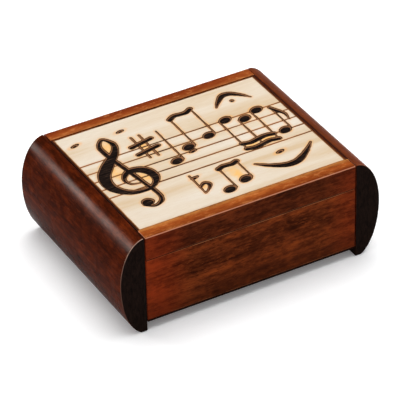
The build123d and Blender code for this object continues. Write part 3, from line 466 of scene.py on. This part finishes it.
def inlay_wood():
    """Pale linden with burnt and carved signs. The board's vertices carry how deep they lie in a stroke and
    in a stave line, in millimetres, and the amber tint inside closed loops."""
    material, tree, shader = new_material("linden_board", Specular_IOR_Level=0.0)
    stretched = coordinates(tree, ACROSS["X"], (0.1, 0.2, 0.3))
    figure = noise(tree, stretched, 8.0, 4.0, 0.5, 0.4)
    creams = ((0.32, tone(202, 179, 148)), (0.52, tone(212, 198, 178)), (0.72, tone(216, 206, 192)))
    color = ramp(tree, figure, *creams)
    fibres = noise(tree, stretched, 170.0, 4.0, 0.6)
    color = blend(tree, spread(tree, fibres, 0.3, 0.75, 0.0, 0.18), color, tone(188, 150, 108))
    flecks = noise(tree, coordinates(tree, (6, 30, 30)), 75.0, 2.0)
    color = blend(tree, spread(tree, flecks, 0.66, 0.74, 0.0, 0.35), color, tone(190, 146, 92))

    # Amber inside loops, and a scorched halo round each stroke
    uneven = noise(tree, coordinates(tree), 190.0, 4.0, 0.6)
    wander = spread(tree, uneven, 0.2, 0.8, -0.14, 0.14)
    stroke = plus(tree, carried(tree, "stroke"), wander)
    amber = times(tree, carried(tree, "tint"), spread(tree, uneven, 0.3, 0.7, 0.45, 1.0))
    color = blend(tree, amber, color, tone(226, 178, 108))
    halo = spread(tree, stroke, -1.7, 0.0, 0.0, 0.75)
    halo = times(tree, halo, spread(tree, uneven, 0.25, 0.75, 0.35, 1.0))
    color = blend(tree, halo, color, tone(222, 158, 82))

    # Stave lines, burnt more and less along their way, and the line along the board's edge, which is
    # painted shade of the gap round the board
    line = plus(tree, carried(tree, "line"), times(tree, wander, 0.6))
    heat = noise(tree, coordinates(tree, (1, 0.2, 0.2)), 45.0, 2.0)
    burn_and_edge_shade = ramp(tree, heat, (0.38, tone(66, 35, 18)), (0.62, tone(134, 82, 45)))
    color = blend(tree, spread(tree, line, -0.75, 0.0, 0.0, 0.35), color, tone(222, 168, 104))
    color = blend(tree, spread(tree, line, -0.16, 0.1), color, burn_and_edge_shade)

    # Strokes: a dark rim, a brown line inside it and ash at the bottom
    color = blend(tree, spread(tree, stroke, -0.14, 0.04), color, tone(34, 16, 9))
    color = blend(tree, spread(tree, stroke, 0.27, 0.4, 0.0, 0.85), color, tone(146, 100, 68))
    soot = noise(tree, stretched, 120.0, 4.0, 0.65)
    ash = ramp(tree, soot, (0.4, tone(15, 11, 10)), (0.6, tone(40, 30, 25)), (0.76, tone(98, 72, 54)))
    color = blend(tree, spread(tree, stroke, 0.62, 0.82), color, ash)

    rough = spread(tree, stroke, 0.0, 0.6, 0.46, 0.62)
    pitted = times(tree, uneven, spread(tree, stroke, 0.2, 0.8))
    relief = plus(tree, times(tree, fibres, 0.3), pitted)
    surface(tree, shader, Base_Color=color, Roughness=rough, Normal=bump(tree, relief, 0.4, 0.05 * MM))
    return material


# Metals, felt and the clear window
BRUSHING = (40, 40, 900)


def metal(name, base, worn, roughness):
    """Brushed metal, cloudy where it is worn, with softened edges."""
    material, tree, shader = new_material(name, Metallic=1.0)
    cloud = noise(tree, coordinates(tree), 140.0, 4.0, 0.6)
    color = ramp(tree, cloud, (0.35, worn), (0.62, base))
    lines = noise(tree, coordinates(tree, BRUSHING), 6.0, 3.0, 0.6)
    dulled = spread(tree, cloud, 0.3, 0.7, roughness + 0.1, roughness)
    rough = plus(tree, dulled, times(tree, lines, 0.12))
    soft_edge = add(tree, "ShaderNodeBevel", {"Radius": 0.08 * MM}, samples=4).outputs["Normal"]
    normal = bump(tree, lines, 0.12, 0.02 * MM, soft_edge)
    surface(tree, shader, Base_Color=color, Roughness=rough, Normal=normal)
    return material


def cast_metal():
    """Dull grainy cast zinc."""
    material, tree, shader = new_material("cast_bedplate_zinc", Metallic=1.0)
    grain = noise(tree, coordinates(tree), 900.0, 4.0, 0.7)
    cloud = noise(tree, coordinates(tree), 90.0, 3.0)
    color = ramp(tree, cloud, (0.3, tone(138, 138, 140)), (0.7, tone(190, 190, 190)))
    rough = spread(tree, grain, 0.3, 0.7, 0.42, 0.58)
    surface(tree, shader, Base_Color=color, Roughness=rough, Normal=bump(tree, grain, 0.5, 0.05 * MM))
    return material


def felt_cloth():
    """Wine-red felt with a short nap."""
    material, tree, shader = new_material(
        "felt_red", Sheen_Weight=0.2, Sheen_Roughness=0.5, Sheen_Tint=(0.8, 0.25, 0.25, 1)
    )
    nap = noise(tree, coordinates(tree), 1400.0, 5.0, 0.75, 0.8)
    cloud = noise(tree, coordinates(tree), 80.0, 3.0)
    reds = ramp(tree, nap, (0.3, tone(70, 8, 13)), (0.7, tone(136, 20, 28)))
    color = blend(tree, spread(tree, cloud, 0.3, 0.7, 0.0, 0.5), reds, tone(94, 12, 18))
    rough = spread(tree, nap, 0.3, 0.7, 0.85, 0.98)
    surface(tree, shader, Base_Color=color, Roughness=rough, Normal=bump(tree, nap, 0.8, 0.15 * MM))
    return material


def clear_sheet():
    """Clear acrylic with hairline scratches."""
    material, tree, shader = new_material("clear_window_acrylic", Transmission_Weight=0.97, IOR=1.49)
    hairlines = noise(tree, coordinates(tree, (9, 260, 1)), 14.0, 3.0, 0.7)
    cloud = noise(tree, coordinates(tree), 60.0, 3.0)
    color = ramp(tree, cloud, (0.3, tone(244, 250, 250)), (0.7, tone(252, 255, 255)))
    rough = spread(tree, hairlines, 0.62, 0.74, 0.02, 0.12)
    surface(tree, shader, Base_Color=color, Roughness=rough, Normal=bump(tree, hairlines, 0.03, 0.01 * MM))
    return material


# Carving of the board: strokes are chains of round discs and spans, heads are ellipses
def ease(share):
    return share * share * (3 - 2 * share)


def between(share, before, start, end, after):
    """The value at share of the way from start to end, on a smooth curve through all four values."""
    slope = end - before
    bend = 2 * before - 5 * start + 4 * end - after
    twist = 3 * start - before - 3 * end + after
    return 0.5 * (2 * start + slope * share + bend * share**2 + twist * share**3)


def through(points):
    """A smooth chain of (u, v, half width) through the given ones."""
    padded = [points[0], *points, points[-1]]
    chain = []
    for four in zip(padded, padded[1:], padded[2:], padded[3:]):
        for step in range(CURVE_STEPS):
            chain.append(tuple(between(step / CURVE_STEPS, *values) for values in zip(*four)))
    return [*chain, tuple(points[-1])]


class Carving:
    """The board's own field: how deep each grid point lies inside the nearest carved stroke, in metres.
    u runs to the right along the board and v towards its back edge."""

    def __init__(self, across, along):
        self.u, self.v = np.meshgrid(across, along)
        self.across, self.along = across, along
        self.stroke = np.full(self.u.shape, OFF_STROKES)
        self.tint = np.zeros(self.u.shape)

    def window(self, low_u, high_u, low_v, high_v):
        """The part of the grid that a stroke with these corners can reach."""
        columns = slice(*np.searchsorted(self.across, (low_u - STROKE_REACH, high_u + STROKE_REACH)))
        rows = slice(*np.searchsorted(self.along, (low_v - STROKE_REACH, high_v + STROKE_REACH)))
        return rows, columns

    def span(self, start, end):
        """One straight span whose half width changes evenly from start to end."""
        (u0, v0, w0), (u1, v1, w1) = start, end
        place = self.window(min(u0, u1), max(u0, u1), min(v0, v1), max(v0, v1))
        u, v = self.u[place] - u0, self.v[place] - v0
        length = max(hypot(u1 - u0, v1 - v0), TINY)
        du, dv = (u1 - u0) / length, (v1 - v0) / length
        share = np.clip((u * du + v * dv) / length, 0, 1)
        inside = w0 + (w1 - w0) * share - np.hypot(u - du * length * share, v - dv * length * share)
        self.stroke[place] = np.maximum(self.stroke[place], inside)

    def chain(self, points):
        """A stroke along a chain of (u, v, half width)."""
        for start, end in zip(points, points[1:]):
            self.span(start, end)

    def line(self, start, end, half_width):
        """A straight stroke of even width."""
        self.span((*start, half_width), (*end, half_width))

    def head(self, u, v, length=HEAD_LENGTH, width=HEAD_WIDTH, tilt=HEAD_TILT):
        """A filled ellipse, given by its half length and half width."""
        place = self.window(u - length, u + length, v - length, v + length)
        du, dv = self.u[place] - u, self.v[place] - v
        along = (du * cos(tilt) + dv * sin(tilt)) / length
        aside = (dv * cos(tilt) - du * sin(tilt)) / width
        inside = (1 - np.hypot(along, aside)) * width
        self.stroke[place] = np.maximum(self.stroke[place], inside)

    def glow(self, u, v, length, width):
        """An amber patch, as between the strokes of a loop."""
        away = np.hypot((self.u - u) / length, (self.v - v) / width)
        self.tint = np.maximum(self.tint, ease(np.clip(1.35 - away, 0, 1)))


def stave_height(step):
    """Height on the board of a place on the stave: 0 is the lowest line, 1 the space above it, 2 the next
    line."""
    return STAVE_FOOT + step * STAVE_SPACE / 2


def treble_clef(carving, u, unit):
    """The usual G clef, drawn from its curl round the second line out to the ball at its foot. The stroke's
    places and half widths are in units, from the point where the curl goes round its line."""
    line_g = stave_height(2)
    stroke = (
        (0.22, -0.46, 0.06), (-0.36, -0.28, 0.11), (-0.50, 0.34, 0.15), (0.06, 0.92, 0.25),
        (0.84, 0.74, 0.34), (1.22, 0.00, 0.32), (0.98, -0.76, 0.22), (0.20, -1.20, 0.18),
        (-0.84, -0.96, 0.26), (-1.50, -0.05, 0.36), (-1.36, 1.16, 0.42), (-0.52, 2.22, 0.40),
        (0.36, 3.12, 0.27), (0.70, 3.95, 0.20), (0.34, 4.66, 0.15), (-0.16, 4.05, 0.18),
        (-0.16, 3.00, 0.20), (0.04, 1.60, 0.19), (0.30, -0.20, 0.17), (0.52, -1.80, 0.16),
        (0.38, -2.55, 0.16), (-0.20, -2.86, 0.15), (-0.70, -2.50, 0.14),
    )
    points = [(u + x * unit, line_g + y * unit, half * unit) for x, y, half in stroke]
    carving.chain(through(points))
    carving.head(u - 0.42 * unit, line_g - 2.34 * unit, 0.42 * unit, 0.38 * unit, 0)
    carving.glow(u + 0.22 * unit, line_g + 3.85 * unit, 0.4 * unit, 0.75 * unit)
    carving.glow(u - 0.55 * unit, line_g + 1.1 * unit, 0.5 * unit, 0.9 * unit)
    carving.glow(u + 0.62 * unit, line_g - 0.1 * unit, 0.45 * unit, 0.6 * unit)


def note(carving, u, step, tip, side=1):
    """A filled head and its stem, which stands to the right (1) or hangs to the left (-1)."""
    v = stave_height(step)
    carving.head(u, v)
    stem_u = u + side * (HEAD_LENGTH - STEM_INSET)
    carving.line((stem_u, v), (stem_u, tip), STEM_HALF_WIDTH)
    return stem_u


def beam(carving, start, end, sway):
    """A thick bar between two stem tips, gently swayed as if cut by hand."""
    (u0, v0), (u1, v1) = start, end
    points = []
    for share in (0, 0.25, 0.5, 0.75, 1):
        lift = sway * sin(2 * pi * share)
        points.append((u0 + (u1 - u0) * share, v0 + (v1 - v0) * share + lift, BEAM_HALF_WIDTH))
    carving.chain(through(points))


def paired_notes(carving, first, second, sway):
    """Two notes, each given as for note, whose stems end on one beam."""
    ends = [(note(carving, u, step, tip), tip) for u, step, tip in (first, second)]
    beam(carving, *ends, sway)


def hanging_notes(carving):
    """Three notes whose stems hang down to a double beam, with amber between the stems."""
    tips = []
    for u, step, tip in ((91, 8, 37), (101, 7, 35.5), (111, 8, 37)):
        tips.append((note(carving, u * MM, step, tip * MM, -1), tip * MM))
    (u0, v0), (u1, v1) = tips[0], tips[-1]
    for lift in (0, BEAM_SPACE):
        beam(carving, (u0, v0 + lift), (u1, v1 + lift), -0.9 * MM)
    for u in (92.5, 102.5):
        carving.glow(u * MM, 39.5 * MM, 5 * MM, 3.2 * MM)


def flagged_note(carving, u, step, tip):
    """A note with a flag that falls from the tip of its stem."""
    stem_u = note(carving, u, step, tip)
    flag = ((0, 0, 1.5), (2.2, -5, 1.7), (4.2, -9.5, 1.2), (3.4, -15.5, 0.5))
    carving.chain(through([(stem_u + x * MM, tip + y * MM, half * MM) for x, y, half in flag]))


def sharp(carving, u, v, unit):
    """Two thin upright bars, and two thick ones that rise to the right."""
    for aside in (-0.28, 0.28):
        bar = u + aside * unit
        carving.line((bar, v - 1.25 * unit), (bar, v + 1.25 * unit), 0.09 * unit)
    for lift in (-0.45, 0.45):
        left = (u - 0.75 * unit, v + (lift - 0.16) * unit)
        right = (u + 0.75 * unit, v + (lift + 0.16) * unit)
        carving.line(left, right, 0.2 * unit)
    carving.glow(u, v, 0.4 * unit, 0.6 * unit)


def flat(carving, u, v, unit):
    """An upright bar with a bowl at its foot."""
    carving.line((u, v - 0.5 * unit), (u, v + 1.9 * unit), 0.09 * unit)
    bowl = ((0, 0.25, 0.12), (0.5, 0.62, 0.17), (0.78, 0.3, 0.2), (0.5, -0.15, 0.14), (0, -0.55, 0.08))
    carving.chain(through([(u + x * unit, v + y * unit, half * unit) for x, y, half in bowl]))
    carving.glow(u + 0.36 * unit, v + 0.12 * unit, 0.3 * unit, 0.35 * unit)


def slur(carving, start, end, rise, half_width):
    """A bow that is thickest in its middle."""
    points = []
    for share in (0, 0.15, 0.35, 0.5, 0.65, 0.85, 1):
        u = start[0] + (end[0] - start[0]) * share
        v = start[1] + (end[1] - start[1]) * share + rise * sin(pi * share)
        points.append((u, v, half_width * (0.3 + 0.7 * sin(pi * share))))
    carving.chain(through(points))


def carve_signs(carving):
    """A plain row of notes on one stave, with the usual signs around it."""
    treble_clef(carving, 20.5 * MM, 9.3 * MM)
    sharp(carving, 40.5 * MM, stave_height(8), 9.0 * MM)

    note(carving, 49 * MM, 3, 78 * MM)
    paired_notes(carving, (61 * MM, 5, 84 * MM), (76 * MM, 6, 88 * MM), 1.1 * MM)
    hanging_notes(carving)
    flagged_note(carving, 114.5 * MM, 2, 66 * MM)

    # Above the stave: a bow over a dot
    carving.head(104 * MM, 83 * MM, 1.5 * MM, 1.5 * MM, 0)
    slur(carving, (93 * MM, 81 * MM), (115 * MM, 81 * MM), 9.5 * MM, 2.3 * MM)

    # Below the stave: a flat, two more notes and a bow
    flat(carving, 47 * MM, 16 * MM, 7.5 * MM)
    paired_notes(carving, (60 * MM, -6, 28 * MM), (72 * MM, -5, 30 * MM), 0.7 * MM)
    carving.glow(70 * MM, 20 * MM, 4 * MM, 7 * MM)
    slur(carving, (83 * MM, 22 * MM), (120 * MM, 25 * MM), -11 * MM, 2.6 * MM)

    # Small dashes burnt here and there
    for u, v in ((8, 88), (49, 27.5), (101, 25.5), (61, 50.5), (36, 88)):
        carving.head(u * MM, v * MM, 2.9 * MM, 1.4 * MM, radians(14))


def line_field(carving):
    """How deep each grid point lies inside the nearest stave line, or inside the dark line along the
    board's edge that is painted shade of the gap round the board.
    """
    lines = [stave_height(2 * index) for index in range(STAVE_LINES)]
    off_stave = np.min([np.abs(carving.v - line) for line in lines], axis=0)
    off_sides = np.minimum(carving.u, carving.across[-1] - carving.u)
    off_ends = np.minimum(carving.v, carving.along[-1] - carving.v)
    off_edge = np.minimum(off_sides, off_ends)
    return np.maximum(LINE_HALF_WIDTH - off_stave, EDGE_SHADE_LINE - off_edge)


def close_board(top, columns, rows, underside):
    """The points and faces of a closed board, whose top is a grid of points, row by row."""
    width = columns + 1
    faces = []
    for row in range(rows):
        for corner in range(row * width, row * width + columns):
            faces.append((corner, corner + 1, corner + 1 + width, corner + width))
    edge = list(range(columns))
    edge += [row * width + columns for row in range(rows)]
    edge += [rows * width + column for column in range(columns, 0, -1)]
    edge += [row * width for row in range(rows, 0, -1)]
    foot = top[edge].copy()
    foot[:, 2] = underside
    for index, corner in enumerate(edge):
        after = (index + 1) % len(edge)
        faces.append((corner, len(top) + index, len(top) + after, edge[after]))
    faces.append(tuple(range(len(top) + len(foot) - 1, len(top) - 1, -1)))
    return np.vstack((top, foot)), faces


def smooth(mesh, sharp_angle):
    """Shades a mesh smooth, apart from edges sharper than an angle."""
    mesh.set_sharp_from_angle(angle=sharp_angle)
    for polygon in mesh.polygons:
        polygon.use_smooth = True


def carved_board():
    """The lid's inlaid board as one closed mesh, with its signs sunk in the top."""
    low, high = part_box("lid_panel")
    columns = round((high.x - low.x) / CARVE_STEP)
    rows = round((high.y - low.y) / CARVE_STEP)
    across = np.linspace(0, high.x - low.x, columns + 1)
    along = np.linspace(0, high.y - low.y, rows + 1)
    carving = Carving(across, along)
    carve_signs(carving)
    line = line_field(carving)
    groove = CARVE_DEPTH * ease(np.clip(carving.stroke / CARVE_SLOPE, 0, 1))
    scratch = LINE_DEPTH * ease(np.clip(line / LINE_HALF_WIDTH + 1, 0, 1))
    height = high.z - np.maximum(groove, scratch)
    top = np.stack((low.x + carving.u, low.y + carving.v, height), axis=-1).reshape(-1, 3)
    points, faces = close_board(top, columns, rows, low.z)

    mesh = bpy.data.meshes.new("lid_board_carved")
    mesh.from_pydata(points.tolist(), [], faces)
    depths = (("stroke", carving.stroke / MM, BELOW_SIGNS), ("line", line / MM, BELOW_SIGNS))
    for name, field, below in (*depths, ("tint", carving.tint, 0.0)):
        at_foot = np.full(len(points) - len(top), below)
        values = np.concatenate((field.ravel(), at_foot))
        attribute = mesh.attributes.new(name, "FLOAT", "POINT")
        attribute.data.foreach_set("value", values.astype(np.float32))
    smooth(mesh, BOARD_SHARP_ANGLE)
    board = bpy.data.objects.new("lid_board_carved", mesh)
    bpy.context.collection.objects.link(board)
    board.data.materials.append(inlay_wood())
    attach(board, "lid")
    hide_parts("lid_panel")


# Materials on the frame's own pieces
def dress_frame():
    """Gives every CAD node the material of its slot, and returns each node's slot by name."""
    by_slot = {
        "walnut_ends": end_wood(),
        "mahogany_case": case_wood(),
        "inner_wood": plain_wood(),
        "pale_inlay": plain_wood(),
        "felt": felt_cloth(),
        "clear_window": clear_sheet(),
        "brass": metal("brass_polished", tone(226, 190, 110), tone(186, 140, 66), 0.2),
        "steel": metal("steel_bright", tone(206, 206, 208), tone(160, 160, 164), 0.24),
        "cast_bedplate": cast_metal(),
    }
    lid_rails = strip_wood()
    slots = {}
    for name, node in frame["nodes"].items():
        for place in node.material_slots:
            slot = place.material.name.split(".")[0]
            slots[name] = slot
            place.material = lid_rails if name in ("lid_front_rail", "lid_back_rail") else by_slot[slot]
    return slots


# Wooden pieces whose edges are eased, as sanding leaves them
EASED = {
    "left_end_piece": 0.55 * MM,
    "right_end_piece": 0.55 * MM,
    "front_panel": 0.5 * MM,
    "back_panel": 0.5 * MM,
    "bottom_board": 0.3 * MM,
    "lid_front_rail": 0.45 * MM,
    "lid_back_rail": 0.45 * MM,
    "lid_left_rail": 0.25 * MM,
    "lid_right_rail": 0.25 * MM,
}
SHARP_ANGLE = radians(35)
FLAT_ANGLE = radians(0.5)
JOINT_MARGIN = 1.2 * MM
PLUG_MARGIN = 0.5 * MM


def beside_plug(vertex):
    """Whether a point of an end piece lies on the glued dovetail plug, where nothing is sanded round."""
    low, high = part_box("right_end_plug")
    beside = abs(vertex.co.x) < high.x + PLUG_MARGIN
    return beside and low.z - PLUG_MARGIN < vertex.co.z < high.z + PLUG_MARGIN


def ease_edges(slots):
    """Stands a copy with small rounded edges in place of each of these pieces. The edges away from the
    joints between case and end pieces are marked, and the wood's material gives them its worn tone, worn
    lacquer with a painted highlight."""
    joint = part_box("right_end_piece")[0].x
    for name, width in EASED.items():
        node = frame["nodes"][name]
        form = bmesh.new()
        form.from_mesh(node.data)
        eased = form.faces.layers.float.new("eased")
        bmesh.ops.remove_doubles(form, verts=form.verts, dist=TINY)
        bmesh.ops.dissolve_limit(form, angle_limit=FLAT_ANGLE, verts=form.verts, edges=form.edges)
        sharp = [edge for edge in form.edges if edge.calc_face_angle(0) > SHARP_ANGLE]
        if name.endswith("end_piece"):
            sharp = [edge for edge in sharp if not all(beside_plug(vertex) for vertex in edge.verts)]
        rounding = bmesh.ops.bevel(
            form, geom=sharp, offset=width, segments=3, profile=0.5, affect="EDGES", clamp_overlap=True
        )
        for face in rounding["faces"]:
            off_joint = abs(abs(face.calc_center_median().x) - joint)
            face[eased] = 1.0 if off_joint > JOINT_MARGIN else 0.0
        mesh = bpy.data.meshes.new(name + "_eased")
        form.to_mesh(mesh)
        form.free()
        smooth(mesh, SHARP_ANGLE)
        piece = bpy.data.objects.new(name + "_eased", mesh)
        bpy.context.collection.objects.link(piece)
        piece.data.materials.append(node.material_slots[0].material)
        piece.modifiers.new("even_shading", "WEIGHTED_NORMAL").keep_sharp = True
        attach(piece, node["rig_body"])
        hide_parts(name)


# Camera, floor and light
FLOOR_HALF = 6.0
FLOOR_GLOW = 0.12
WHITE = (1, 1, 1, 1)
SKY = (0.96, 0.98, 1, 1)
SKY_LIGHT = 0.42


def place_camera():
    """A camera that looks at the box from the photograph's side, height and distance."""
    back = Vector(
        (
            sin(VIEW_AZIMUTH) * cos(VIEW_ELEVATION),
            -cos(VIEW_AZIMUTH) * cos(VIEW_ELEVATION),
            sin(VIEW_ELEVATION),
        )
    )
    level = Vector((cos(VIEW_AZIMUTH), sin(VIEW_AZIMUTH), 0))
    upright = back.cross(level)
    right = cos(VIEW_ROLL) * level + sin(VIEW_ROLL) * upright
    up = cos(VIEW_ROLL) * upright - sin(VIEW_ROLL) * level
    data = bpy.data.cameras.new("camera")
    data.lens = LENS
    data.sensor_width = SENSOR
    data.sensor_fit = "HORIZONTAL"
    data.clip_end = 20.0
    camera = bpy.data.objects.new("camera", data)
    bpy.context.collection.objects.link(camera)
    turn = Matrix((right, up, back)).transposed().to_4x4()
    camera.matrix_world = Matrix.Translation(AIM_RIGHT * right + AIM_UP * up + VIEW_DISTANCE * back) @ turn
    bpy.context.scene.camera = camera


def softbox(name, place, aim, width, height, power, color=(1, 1, 1), gleam_only=False):
    """A rectangular lamp. One for gleams alone shows in gloss and lights nothing diffusely."""
    data = bpy.data.lights.new(name, "AREA")
    data.shape = "RECTANGLE"
    data.size = width
    data.size_y = height
    data.energy = power
    data.color = color
    light = bpy.data.objects.new(name, data)
    bpy.context.collection.objects.link(light)
    light.location = place
    light.rotation_euler = (Vector(aim) - Vector(place)).to_track_quat("-Z", "Y").to_euler()
    light.visible_camera = False
    light.visible_diffuse = not gleam_only


def seen_directly(tree):
    """1 for what the camera sees, itself or in metal and glass, and 0 for what only lights the object."""
    path = add(tree, "ShaderNodeLightPath")
    seen = plus(tree, path.outputs["Is Camera Ray"], path.outputs["Is Glossy Ray"])
    return plus(tree, seen, path.outputs["Is Transmission Ray"])


def lay_floor():
    """A plain white floor, a little brighter where it is seen."""
    mesh = bpy.data.meshes.new("floor")
    corners = [(-FLOOR_HALF, -FLOOR_HALF, 0), (FLOOR_HALF, -FLOOR_HALF, 0)]
    corners += [(FLOOR_HALF, FLOOR_HALF, 0), (-FLOOR_HALF, FLOOR_HALF, 0)]
    mesh.from_pydata(corners, [], [(0, 1, 2, 3)])
    floor = bpy.data.objects.new("floor", mesh)
    bpy.context.collection.objects.link(floor)
    material, tree, shader = new_material(
        "floor_white", Base_Color=WHITE, Roughness=0.9, Specular_IOR_Level=0.0, Emission_Color=WHITE
    )
    surface(tree, shader, Emission_Strength=spread(tree, seen_directly(tree), 0.0, 1.0, 0.0, FLOOR_GLOW))
    floor.data.materials.append(material)


def light_world():
    """A faintly cool sky, which is brighter where it is seen than where it lights the box."""
    world = bpy.data.worlds.new("studio")
    bpy.context.scene.world = world
    world.use_nodes = True
    tree = world.node_tree
    sky = tree.nodes["Background"]
    sky.inputs["Color"].default_value = SKY
    strength = spread(tree, seen_directly(tree), 0.0, 1.0, SKY_LIGHT, 1.0)
    tree.links.new(strength, sky.inputs["Strength"])


def hang_lamps():
    """A large lamp overhead, a small one behind each end of the box, and one for the left end's gleam."""
    left_end = (-0.07, 0, 0.05)
    right_end = (0.07, 0, 0.05)
    softbox("top_softbox", (0.2, 0.12, 1.3), (0, 0, 0), 1.35, 1.35, 18.6)
    softbox("left_softbox", (-0.73, 0.72, 0.42), left_end, 0.11, 0.14, 2.4, (1.0, 0.93, 0.91))
    softbox("left_gleam", (-0.73, 0.69, 0.42), left_end, 0.34, 0.34, 85.0, (0.94, 1.0, 1.0), True)
    softbox("right_softbox", (0.86, 0.86, 0.33), right_end, 0.2, 0.2, 0.45, (1.0, 0.9, 0.86))


place_camera()
ease_edges(dress_frame())
carved_board()
lay_floor()
light_world()
hang_lamps()
bpy.context.scene.view_settings.view_transform = "Standard"
